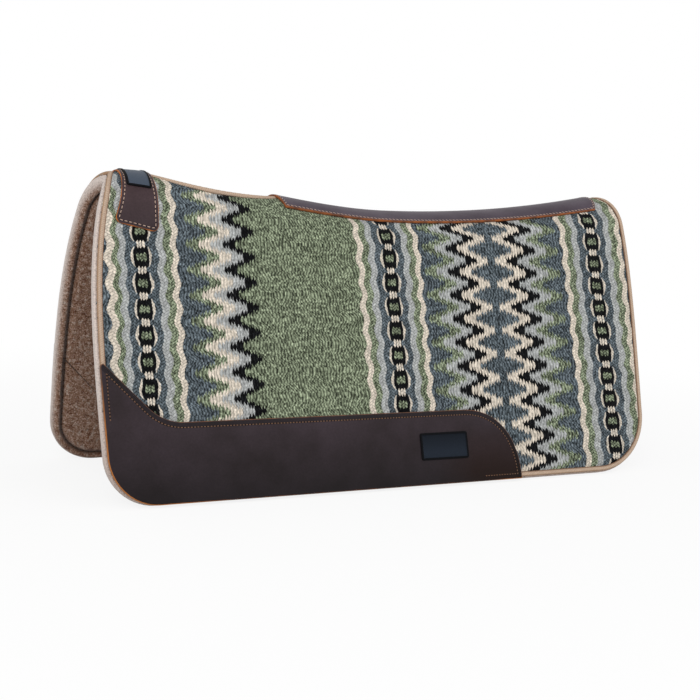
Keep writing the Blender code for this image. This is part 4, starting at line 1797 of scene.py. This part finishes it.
        # Painted shade at both ends of each float
        end = add("Math:PINGPONG", along, 0.5)
        end = add("MapRange", end, 0.0, 0.25, -0.75, 0.25, interpolation_type="SMOOTHSTEP")
        fleck_key = add("CombineXYZ", across, along, 0.0)
        fleck_key = add("VectorMath:MULTIPLY", fleck_key, self.flecks)
        fleck = add("TexNoise", Vector=fleck_key, Scale=1.0, Detail=2.0, Roughness=0.6)
        fleck = add("Math:SUBTRACT", fleck, 0.5)
        chance = add("Math:SUBTRACT", chance, 0.5)
        signal = 0.0
        for part, (in_ground, in_stripes) in zip((end, crest, fleck, chance), self.weights):
            weight = add("Mix", striped, in_ground, in_stripes)
            signal = add("Math:MULTIPLY_ADD", part, weight, signal)
        contrast = add("MapRange", brightness, *self.pale_levels, 1.0, self.pale_contrast)
        signal = add("Math:MULTIPLY", signal, contrast)
        # The painted shade and highlight, with the yarns' random tone, scale the colour
        light = add("Math:MULTIPLY_ADD", signal, self.contrast, 1.0)
        light = add("Math:MAXIMUM", light, self.darkest)
        light = add("Math:POWER", light, self.light_power)
        # Pale fibre flecks, and a painted highlight where the crests are brightest
        most = add("Math:MULTIPLY_ADD", brightness, 0.2, 0.006)
        lint_and_highlight = add("MapRange", signal, 0.2, 1.2, 0.0, most)
        toned = add("VectorMath:MULTIPLY_ADD", colour, light, lint_and_highlight)
        raised = add("Math:MULTIPLY_ADD", crest, -0.3, fleck)
        bump = add("Bump", Height=raised, Strength=0.4, Distance=0.6 * MM)
        fill(shader, {"Base Color": toned, "Normal": bump, "Roughness": 0.95, "Specular IOR Level": 0.08,
                      "Sheen Weight": 0.02, "Sheen Roughness": 0.6})


@dataclass(frozen=True)
class WoolFelt:
    """Pressed wool felt: matt and lumpy, mottled brown, grey and rust; its rim paler from brushing and a
    painted highlight, its sewn channel darker from painted shade and dirt.
    """

    brown: str = "#8a6955"
    grey: str = "#ab9b8f"
    rust: str = "#613b26"
    pale: str = "#d9ccc4"
    channel_shade_and_dirt_colour: str = "#3f2617"
    mottle: float = 5.0 * MM
    fibre: float = 1.7 * MM

    def material(self) -> Material:
        """Build the material, which reads the felt's rim attribute."""
        material, add, shader = new_material("wool_felt")
        where = add("TexCoord", out="Object")
        rim = add("Attribute", out="Vector", attribute_name="rim")
        brushed_and_lit = add("SeparateXYZ", rim)
        crease = brushed_and_lit.node.outputs["Y"]
        mottle = add("TexNoise", Vector=where, Scale=1.0 / self.mottle, Detail=4.0, Roughness=0.65)
        fibre = add("TexNoise", Vector=where, Scale=1.0 / self.fibre, Detail=4.0, Roughness=0.7)
        tones = zip((0.36, 0.48, 0.54, 0.66), (self.rust, self.brown, self.brown, self.grey))
        base = add("ValToRGB", mottle, stops=[(place, linear(code)) for place, code in tones])
        flecks = add("MapRange", fibre, 0.54, 0.70, 0.0, 0.8)
        flecked = add("Mix", flecks, base, linear(self.pale), data_type="RGBA")
        height = add("SeparateXYZ", where, out="Z")
        # The rim's paleness, from brushing and a painted highlight, grows towards the top
        paler_higher_up = add("MapRange", height, 0.02, 0.13, 0.55, 0.92)
        share = add("Math:MULTIPLY", brushed_and_lit, paler_higher_up)
        brushed_and_lit_colour = add("Mix", share, flecked, linear(self.pale), data_type="RGBA")
        # Painted shade in the low places of the fibre bump, lighter on the pale rim
        deepest = add("Math:MULTIPLY_ADD", brushed_and_lit, 0.28, 0.25)
        pits = add("MapRange", fibre, 0.32, 0.52, deepest, 1.0)
        pitted = add("VectorMath:SCALE", brushed_and_lit_colour, Scale=pits)
        channel_shade_and_dirt = add("Math:MULTIPLY", crease, 0.75)
        colour = add("Mix", channel_shade_and_dirt, pitted, linear(self.channel_shade_and_dirt_colour), data_type="RGBA")
        bump = add("Bump", Height=fibre, Strength=0.7, Distance=0.6 * MM)
        fill(shader, {"Base Color": colour, "Normal": bump, "Roughness": 0.97, "Specular IOR Level": 0.08,
                      "Sheen Weight": 0.3, "Sheen Roughness": 0.5})
        return material


@dataclass(frozen=True)
class TwillTape:
    """Cotton twill tape: dull tan, with fine slanted ribs, browner where it turns under, dark at its inner
    edge from the seam and painted shade.
    """

    tan: str = "#b39c88"
    turned: str = "#a08268"
    # Dark line along the inner edge: the seam, and painted shade where the tape meets the cloth
    sewn: str = "#7b5f4c"
    rib: float = 2.6
    slant: float = 0.55
    # Coarser than real threads, so that they show
    thread: float = MM / 0.7

    def material(self) -> Material:
        """Build the material, which reads the tape's run attribute in millimetres."""
        material, add, shader = new_material("twill_tape")
        run = add("Attribute", out="Vector", attribute_name="run")
        parts = add("SeparateXYZ", run).node.outputs
        along, across = parts["X"], parts["Y"]
        slanted = add("Math:MULTIPLY_ADD", across, self.slant, along)
        turns = add("Math:MULTIPLY", slanted, 1.0 / self.rib)
        rib = add("Math:PINGPONG", turns, 0.5)
        width = add("Math:MULTIPLY", across, 0.1)
        tones = zip((0.24, 0.34, 0.68, 0.76), (self.turned, self.tan, self.tan, self.sewn))
        plain = add("ValToRGB", width, stops=[(place, linear(code)) for place, code in tones])
        where = add("TexCoord", out="Object")
        thread = add("TexNoise", Vector=where, Scale=1.0 / self.thread, Detail=3.0)
        tone = add("Math:MULTIPLY_ADD", rib, -0.6, 0.75)
        tone = add("Math:MULTIPLY_ADD", thread, 0.8, tone)
        colour = add("VectorMath:SCALE", plain, Scale=tone)
        bump = add("Bump", Height=thread, Strength=0.4, Distance=0.2 * MM)
        fill(shader, {"Base Color": colour, "Normal": bump, "Roughness": 0.85, "Specular IOR Level": 0.2})
        return material


@dataclass(frozen=True)
class OiledLeather:
    """Oiled pull-up cowhide: dark and waxy, paler where it bends or is rubbed, with fine pores."""

    name: str
    dark: str
    light: str
    roughness: float = 0.46
    pore: float = 1.3 * MM
    crease: float = MM / 0.42
    cloud: float = 70.0 * MM
    # Two heights, and the painted light at each: under 1 painted shade, over 1 a painted sheen
    painted_light_by_height: tuple = (0.0, 1.0, 1.0, 1.0)

    def material(self) -> Material:
        """Build the face of the leather."""
        material, add, shader = new_material(self.name)
        where = add("TexCoord", out="Object")
        cloud = add("TexNoise", Vector=where, Scale=1.0 / self.cloud, Detail=5.0, Roughness=0.6)
        colour = add("ValToRGB", cloud, stops=[(0.30, linear(self.dark)), (0.72, linear(self.light))])
        pores = add("TexVoronoi", Vector=where, Scale=1.0 / self.pore)
        creases = add("TexNoise", Vector=where, Scale=1.0 / self.crease, Detail=4.0)
        speck = add("MapRange", creases, 0.3, 0.7, 0.88, 1.1)
        height = add("SeparateXYZ", where, out="Z")
        low, high, dark, light = self.painted_light_by_height
        # Painted light by height: shade low down, a sheen higher up
        painted_light = add("MapRange", height, low, high, dark, light)
        speck = add("Math:MULTIPLY", speck, painted_light)
        speck = add("Math:MULTIPLY", speck, self.edge_shade(add))
        toned = add("VectorMath:SCALE", self.soaked_and_shaded(add, colour), Scale=speck)
        grain = add("Math:MULTIPLY_ADD", pores, 0.5, creases)
        bump = add("Bump", Height=grain, Strength=0.16, Distance=0.35 * MM)
        rough = add("MapRange", cloud, 0.3, 0.7, self.roughness + 0.05, self.roughness - 0.05)
        fill(shader, {"Base Color": toned, "Normal": bump, "Roughness": rough, "Specular IOR Level": 0.12})
        return material

    def edge_shade(self, add: Adder) -> float | Socket:
        """How dark the leather is near its edge."""
        return 1.0

    def soaked_and_shaded(self, add: Adder, colour: Socket) -> Socket:
        """The leather's colour where it is more oiled and where painted shade lies."""
        return colour


@dataclass(frozen=True)
class BurnishedLeather(OiledLeather):
    """Oiled leather whose upper edge is pressed and burnished dark as far in as its seam."""

    cut: WearLeather = WearLeather()
    notch: float = 28.0 * MM
    band: tuple = (6.9 * MM, 7.6 * MM, 0.46, 1.0)
    # Colour low at the rear end, from more oiling and from painted shade
    oil_and_shade: str = "#260d03"
    oil_and_shade_back: tuple = (0.04, 0.10)
    oil_and_shade_height: tuple = (0.012, 0.075)

    def soaked_and_shaded(self, add: Adder, colour: Socket) -> Socket:
        """Leave the leather browner and darker low at its rear end, from more oiling and from painted shade
        where less light reaches.

        Args:
            add: Adds a node.
            colour: The leather's colour.

        Returns:
            The colour.
        """
        flat = add("Attribute", out="Vector", attribute_name="cut")
        parts = add("SeparateXYZ", flat).node.outputs
        back = add("MapRange", parts["X"], *self.oil_and_shade_back)
        low = add("MapRange", parts["Y"], *self.oil_and_shade_height, 0.9, 0.0)
        share = add("Math:MULTIPLY", back, low)
        return add("Mix", share, colour, linear(self.oil_and_shade), data_type="RGBA")

    def edge_shade(self, add: Adder) -> Socket:
        """Darken a band in from the diagonal, the top and the rear curve of the cut.

        Args:
            add: Adds a node.

        Returns:
            The share of light.
        """
        cut, line = self.cut, self.cut.top_line()
        x, v = line[np.argmin(np.abs(line[:, 1] - (cut.tip_height + cut.height) / 2.0))]
        sine, cosine = math.sin(cut.slope), math.cos(cut.slope)
        flat = add("Attribute", out="Vector", attribute_name="cut")
        parts = add("SeparateXYZ", flat).node.outputs
        under = add("Math:MULTIPLY_ADD", parts["Y"], -cosine, float(x * sine + v * cosine))
        under = add("Math:MULTIPLY_ADD", parts["X"], -sine, under)
        back = add("MapRange", parts["X"], cut.curve_x, cut.end_x, 0.0, 1.0)
        rise = add("MapRange", parts["Y"], cut.foot_inset, cut.height, 0.0, 1.0, clamp=False)
        total = 0.0
        for share in (back, rise):
            raised = add("Math:POWER", share, cut.curve_power)
            total = add("Math:ADD", raised, total)
        reach = add("Math:POWER", total, 1.0 / cut.curve_power)
        inside = add("Math:MULTIPLY_ADD", reach, -cut.height, cut.height)
        gap = add("Math:SMOOTH_MAX", under, inside, self.notch)
        low, high, dark, light = self.band
        return add("MapRange", gap, low, high, dark, light)


@dataclass(frozen=True)
class CutEdge:
    """The raw cut edge of the leather: orange-brown fibres, darker where oil has soaked in."""

    name: str
    bright: str = "#b5651d"
    dark: str = "#6e3d1c"
    soak: float = MM / 0.09
    # Coarser than real fibres, so that they show
    fibre: float = MM / 1.3

    def material(self) -> Material:
        """Build the edge."""
        material, add, shader = new_material(self.name)
        where = add("TexCoord", out="Object")
        soak = add("TexNoise", Vector=where, Scale=1.0 / self.soak, Detail=4.0)
        colour = add("ValToRGB", soak, stops=[(0.35, linear(self.dark)), (0.62, linear(self.bright))])
        worked = self.worked(add, colour)
        fibre = add("TexNoise", Vector=where, Scale=1.0 / self.fibre)
        bump = add("Bump", Height=fibre, Strength=0.5, Distance=0.3 * MM)
        fill(shader, {"Base Color": worked, "Normal": bump, "Roughness": 0.7})
        return material

    def worked(self, add: Adder, colour: Socket) -> Socket:
        """The edge's colour where it has been worked."""
        return colour


@dataclass(frozen=True)
class BurnishedEdge(CutEdge):
    """A cut edge burnished dark along the top, and left raw and orange at both ends of its foot."""

    raw: str = "#a9651f"
    cut: WearLeather = WearLeather()
    raw_reach: tuple = (0.09, 0.15)
    raw_rear: tuple = (0.125, 0.150)
    raw_height: float = 3.0 * MM
    rawness: float = 0.85

    def worked(self, add: Adder, colour: Socket) -> Socket:
        """Leave the edge raw near the foot of the cut's front and at its rear foot.

        Args:
            add: Adds a node.
            colour: The burnished colour.

        Returns:
            The colour.
        """
        tip = float(FORM.front_line(self.cut.tip_height)) + self.cut.edge_inset
        flat = add("Attribute", out="Vector", attribute_name="cut")
        reach = add("VectorMath:DOT_PRODUCT", flat, (1.0, 1.0, 0.0))
        near, far = self.raw_reach
        share = add("MapRange", reach, tip + near, tip + far, self.rawness, 0.0)
        parts = add("SeparateXYZ", flat).node.outputs
        foot = add("Math:LESS_THAN", parts["Y"], self.raw_height)
        back = add("MapRange", parts["X"], *self.raw_rear, 0.0, self.rawness)
        rear = add("Math:MULTIPLY", foot, back)
        share = add("Math:MAXIMUM", share, rear)
        return add("Mix", share, colour, linear(self.raw), data_type="RGBA")


@dataclass(frozen=True)
class WaxedThread:
    """Waxed polyester thread: a soft gloss, with painted shade and highlight along its twist."""

    name: str
    colour: str
    twist: float = MM / 1.1

    def material(self) -> Material:
        """Build the thread."""
        material, add, shader = new_material(self.name)
        where = add("TexCoord", out="Object")
        twist = add("TexNoise", Vector=where, Scale=1.0 / self.twist, Detail=2.0)
        # Painted shade and highlight along the twist
        tone = add("MapRange", twist, 0.3, 0.7, 0.7, 1.15)
        colour = add("VectorMath:SCALE", linear(self.colour)[:3], Scale=tone)
        bump = add("Bump", Height=twist, Strength=0.5, Distance=0.2 * MM)
        fill(shader, {"Base Color": colour, "Normal": bump, "Roughness": 0.55})
        return material


@dataclass(frozen=True)
class MouldedRubber:
    """Moulded rubber: near black and dull, with a fine stipple that catches a little grey light."""

    name: str
    colour: str
    roughness: float
    gloss: float = 0.2
    # Two heights, and the painted light on the rubber at each: over 1 a painted sheen, under 1 painted
    # shade
    painted_light_by_height: tuple = (0.0, 1.0, 1.0, 1.0)
    # Coarser than a real stipple, so that it shows
    stipple: float = MM / 1.4

    def material(self) -> Material:
        """Build the rubber."""
        material, add, shader = new_material(self.name)
        where = add("TexCoord", out="Object")
        stipple = add("TexNoise", Vector=where, Scale=1.0 / self.stipple, Detail=2.0)
        tone = add("MapRange", stipple, 0.3, 0.7, 0.8, 1.2)
        height = add("SeparateXYZ", where, out="Z")
        low, high, foot, top = self.painted_light_by_height
        # Painted sheen and shade by height
        shade = add("MapRange", height, low, high, foot, top)
        tone = add("Math:MULTIPLY", tone, shade)
        colour = add("VectorMath:SCALE", linear(self.colour)[:3], Scale=tone)
        bump = add("Bump", Height=stipple, Strength=0.3, Distance=0.2 * MM)
        fill(shader, {"Base Color": colour, "Normal": bump, "Roughness": self.roughness,
                      "Specular IOR Level": self.gloss})
        return material


@dataclass(frozen=True)
class Studio:
    """A white sweep, soft lights and a camera at the photograph's place."""

    camera_place: tuple = (-0.7755, -1.5007, 0.3572)
    camera_right: tuple = (0.89323, -0.44776, 0.04064)
    camera_up: tuple = (0.01613, 0.12225, 0.99237)
    camera_ahead: tuple = (0.44931, 0.88576, -0.11642)
    focal_pixels: float = 1241.1
    frame_pixels: float = 700.0
    sensor: float = 36.0
    floor_size: float = 60.0
    world_light: float = 0.62
    # Share of plain white on the floor by the pad, and the distances over which it grows to all
    floor_white: float = 0.86
    white_from: tuple = (0.45, 1.5)

    def build(self) -> None:
        """Make the camera, the floor, the world and the lamps."""
        self.camera()
        self.floor()
        self.world()
        self.lamp("key_light", (-1.9, -2.9, 2.5), 1.8, 63.0)
        self.lamp("fill_light", (1.2, -2.6, 1.9), 2.0, 18.0)
        bpy.context.scene.view_settings.view_transform = "Standard"

    def camera(self) -> None:
        """Stand the camera where the photograph was taken from."""
        data = bpy.data.cameras.new("photo_camera")
        data.sensor_width = self.sensor
        data.lens = self.focal_pixels / self.frame_pixels * self.sensor
        data.clip_start = 0.05
        data.clip_end = 200.0
        camera = bpy.data.objects.new("photo_camera", data)
        back = -Vector(self.camera_ahead)
        turn = Matrix((self.camera_right, self.camera_up, back)).transposed()
        place = Vector(self.camera_place) - Vector((FORM.middle_x, 0.0, 0.0))
        camera.matrix_world = Matrix.Translation(place) @ turn.to_4x4()
        bpy.context.collection.objects.link(camera)
        bpy.context.scene.camera = camera

    def seen(self, add: Adder) -> Socket:
        """Tell the rays that show the background itself from those that light the pad.

        Args:
            add: Adds a node.

        Returns:
            1 for the first and 0 for the others.
        """
        path = add("LightPath").node.outputs
        shown = add("Math:MAXIMUM", path["Is Camera Ray"], path["Is Glossy Ray"])
        return add("Math:MAXIMUM", shown, path["Is Transmission Ray"])

    def floor(self) -> None:
        """Lay a plain pale floor, shown nearly white, that keeps the pad's shadow."""
        deselect()
        bpy.ops.mesh.primitive_plane_add(size=self.floor_size)
        floor = bpy.context.object
        floor.name = "studio_floor"
        material, add, shader = new_material("matt_white_sweep")
        fill(shader, {"Base Color": (0.9, 0.9, 0.9, 1.0), "Roughness": 0.9, "Specular IOR Level": 0.0})
        white = add("Emission", Color=(1.0, 1.0, 1.0, 1.0), Strength=1.0)
        where = add("TexCoord", out="Object")
        distance = add("VectorMath:LENGTH", where)
        white_share = add("MapRange", distance, *self.white_from, self.floor_white, 1.0,
                          interpolation_type="SMOOTHSTEP")
        share = add("Math:MULTIPLY", self.seen(add), white_share)
        mixed = add("MixShader", share, shader.outputs[0], white)
        fill(material.node_tree.nodes["Material Output"], {"Surface": mixed})
        floor.data.materials.append(material)

    def world(self) -> None:
        """Surround the pad with soft white light."""
        world = bpy.data.worlds.new("studio_world")
        bpy.context.scene.world = world
        world.use_nodes = True
        add = partial(add_node, world.node_tree)
        strength = add("MapRange", self.seen(add), 0.0, 1.0, self.world_light, 1.0)
        fill(world.node_tree.nodes["Background"], {"Color": (1.0, 1.0, 1.0, 1.0), "Strength": strength})

    def lamp(self, name: str, place: tuple, size: float, power: float) -> None:
        """Hang one soft lamp that faces the pad.

        Args:
            name: The lamp's name.
            place: Where it hangs.
            size: Side of its square.
            power: Its power in watts.
        """
        data = bpy.data.lights.new(name, "AREA")
        data.size = size
        data.energy = power
        lamp = bpy.data.objects.new(name, data)
        lamp.location = place
        lamp.rotation_euler = (Vector((0.0, 0.0, 0.2)) - Vector(place)).to_track_quat("-Z", "Y").to_euler()
        bpy.context.collection.objects.link(lamp)


@dataclass(frozen=True)
class SaddlePad:
    """The whole pad: its halves, the pieces over the spine, and the half that each flap piece rides on."""

    bend_half_width: float = 0.05
    bend_height: float = 0.38
    wither_label_drop: float = 0.048
    wither_label_half_width: float = 0.0152
    wear_label_x: float = 0.0552
    wear_label_foot: float = 0.0312
    wear_label_size: tuple = (0.0706, 0.0350)
    label_lift: float = 0.5 * MM
    # Depths of the threads on the felt's underside, and the channel's distance in from the edge
    channel_depth: float = 0.0203
    through_depth: float = 0.0219
    channel_inset: float = 12.0 * MM

    def bend(self, piece: Piece, slot: str, *nodes: str) -> None:
        """Bake a piece's transform into its mesh, and report it.

        Args:
            piece: The piece.
            slot: The record's material slot.
            *nodes: Solids that it stands for.
        """
        Side.NEAR.body
        Side.FAR.body
        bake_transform(piece)
        self.report(piece, slot, *nodes)

    def ride(self, piece: Piece, body: str, slot: str, *nodes: str) -> None:
        """Let a piece ride on one half, and report it.

        Args:
            piece: The piece.
            body: The half.
            slot: The record's material slot.
            *nodes: Solids that it stands for.
        """
        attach(piece, body)
        self.report(piece, slot, *nodes)

    @staticmethod
    def report(piece: Piece, slot: str, *nodes: str) -> None:
        """Hide the solids that a piece replaces, and log its size.

        Args:
            piece: The piece.
            slot: Its slot; not used.
            *nodes: Solids that it replaces.
        """
        if nodes:
            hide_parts(*nodes)
        LOG.info("%s: %d faces", piece.name, len(piece.data.polygons))

    def build(self) -> None:
        """Build and dress every piece."""
        cloth = Cloth()
        wool = WovenWool().material(cloth.chain_column)
        felt = WoolFelt().material()
        tape = TwillTape().material()
        edge = CutEdge("leather_cut_edge").material()
        dark_edge = CutEdge("oiled_cut_edge", "#96521f", "#5a3016").material()
        wear_edge = BurnishedEdge("burnished_cut_edge", "#6b4024", "#3a2518").material()
        # Near-black patches that paint the shade of the needle holes
        hole = MouldedRubber("needle_hole", "#120c0a", 0.9).material()
        # The wear leather and the tab get painted shade low down and a painted sheen higher up
        wear_hide = BurnishedLeather("wear_leather", "#231b1d", "#352b31",
                                     painted_light_by_height=(0.005, 0.095, 0.36, 1.13)).material()
        spine_hide = OiledLeather("spine_leather", "#372d36", "#4d424d").material()
        tab_hide = OiledLeather("tab_leather", "#35282a", "#493a3e",
                                painted_light_by_height=(0.315, 0.375, 0.5, 1.2)).material()
        tan_thread = WaxedThread("tan_thread", "#b99d8c").material()
        brown_thread = WaxedThread("brown_thread", "#6c482c").material()
        felt_thread = WaxedThread("felt_thread", "#33251c").material()
        wither_face = MouldedRubber("wither_label_face", "#3a4452", 0.5).material()
        # The wear label's face gets a painted sheen low down and painted shade near its top
        wear_face = MouldedRubber("wear_label_face", "#1d232c", 0.6, 0.06,
                                  painted_light_by_height=(0.045, 0.067, 1.1, 0.5)).material()
        label_frame = MouldedRubber("label_frame", "#08090c", 0.6, 0.06).material()

        binding = Binding()
        wear = WearLeather()
        seam = wear.stitch_line()
        for side in Side:
            self.half(side, cloth, binding, wear, seam, (wool, felt, tape, wear_hide, wear_edge))
            lay = self.on_flap(side, FORM.leather_face)
            sewn = StitchRow(pitch=4.1 * MM, length=2.5 * MM, width=1.3 * MM, hole=2.0 * MM)
            self.ride(sewn.build(f"wear_stitches_{side.word}", seam, lay, [brown_thread, hole]),
                      side.body, "wear_leather")
            self.felt_stitches(side, seam, [felt_thread, hole])
        spine = SpineLeather()
        self.bend(spine.build([spine_hide, dark_edge]), "spine_leather", "spine_leather")
        slanted = StitchRow(pitch=5.5 * MM, length=4.4 * MM, slant=math.radians(28.0))
        self.bend(slanted.build("spine_stitches", spine.stitch_line(), self.over_spine(FORM.leather_face),
                                [tan_thread, hole]), "spine_leather")
        patch = WitherPatch()
        self.bend(patch.build([tab_hide, edge]), "tab_leather", "wither_patch")
        self.bend(StitchRow(pitch=5.6 * MM, length=3.9 * MM).build(
            "wither_stitches", patch.stitch_line(), self.over_spine(FORM.tab_face), [tan_thread, hole]),
            "tab_leather")
        self.labels(patch, [wither_face, wear_face, label_frame])

    @staticmethod
    def on_flap(side: Side, depth: float) -> Layer:
        """A layer of places on a flap, at a depth, with heights counted outwards."""
        return lambda x, v, h: FORM.place(x, v, depth - h, side)

    @staticmethod
    def over_spine(depth: float) -> Layer:
        """A layer of places over the spine, at a depth, with heights counted outwards."""
        return lambda x, w, h: FORM.across(x, w, depth - h)

    def half(self, side: Side, cloth: Cloth, binding: Binding, wear: WearLeather, seam: Array,
             materials: Sequence) -> None:
        """Build the layers of one half.

        Args:
            side: The flap.
            cloth: The woven top.
            binding: The tape.
            wear: The wear leather.
            seam: Places of the wear leather's stitches.
            materials: Wool, felt, tape, leather and cut edge.
        """
        wool, felt, tape, hide, edge = materials
        word = side.word
        pad = FeltHalf().build(side, felt, seam)
        self.bend(pad, "wool_felt", f"felt_{word}")
        top = cloth.build(side, wool)
        self.bend(top, "woven_wool", f"woven_top_{word}")
        self.bend(binding.build(f"edge_braid_{word}", binding.taped_edge, side, tape), "tan_braid",
                  f"edge_braid_{word}")
        self.bend(binding.build(f"vent_braid_{word}", binding.vent_run, side, tape, 1.8 * MM), "tan_braid",
                  f"vent_braid_{word}")
        self.ride(wear.build(side, [hide, edge]), side.body, "wear_leather", f"wear_leather_{word}")

    def felt_stitches(self, side: Side, seam: Array, materials: Sequence) -> None:
        """Sew the channel round the felt's underside, and the wear leather's seam where it comes through.

        Args:
            side: The flap.
            seam: Places of the wear leather's stitches.
            materials: The thread and the painted shade of the needle holes.
        """
        binding = Binding()
        channel = np.stack(binding.edge_run(self.channel_inset), axis=-1)
        sewn = StitchRow(pitch=8.0 * MM, length=5.6 * MM, width=1.3 * MM, height=1.0 * MM)
        lay = self.on_flap(side, self.channel_depth)
        self.bend(sewn.build(f"channel_stitches_{side.word}", channel, lay, materials), "wool_felt")
        pulled = StitchRow(pitch=8.0 * MM, length=7.6 * MM, width=1.3 * MM, height=1.0 * MM)
        lay = self.on_flap(side, self.through_depth)
        through = pulled.build(f"through_stitches_{side.word}", seam, lay, materials)
        self.ride(through, side.body, "wool_felt")

    def labels(self, patch: WitherPatch, materials: Sequence) -> None:
        """Mould the two bare labels.

        Args:
            patch: The tab that the wither label lies on.
            materials: The recessed faces of the two labels and their frame.
        """
        wither_face, wear_face, frame = materials
        under = FORM.leather_face - self.label_lift
        on_tab = FORM.tab_face - self.label_lift
        half_size = (self.wither_label_half_width, self.wither_label_drop)
        wither = BareLabel("wither_label", (0.0, 0.0), half_size, (12, 40))
        over = wither.build(lambda a, w, h: FORM.across(*patch.place(a, w), on_tab - h),
                            [wither_face, frame])
        self.bend(over, "label_rubber", "wither_label")
        length, height = self.wear_label_size
        middle = (self.wear_label_x, self.wear_label_foot + height / 2.0)
        low = BareLabel("wear_label", middle, (length / 2.0, height / 2.0), (24, 14))
        sewn_on = low.build(self.on_flap(Side.NEAR, under), [wear_face, frame])
        self.ride(sewn_on, Side.NEAR.body, "label_rubber", "wear_label")


def main() -> None:
    """Load the solids, dress them and set the studio."""
    logging.basicConfig(level=logging.INFO, format="%(message)s")
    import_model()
    SaddlePad().build()
    Studio().build()


if __name__ == "__main__":
    main()
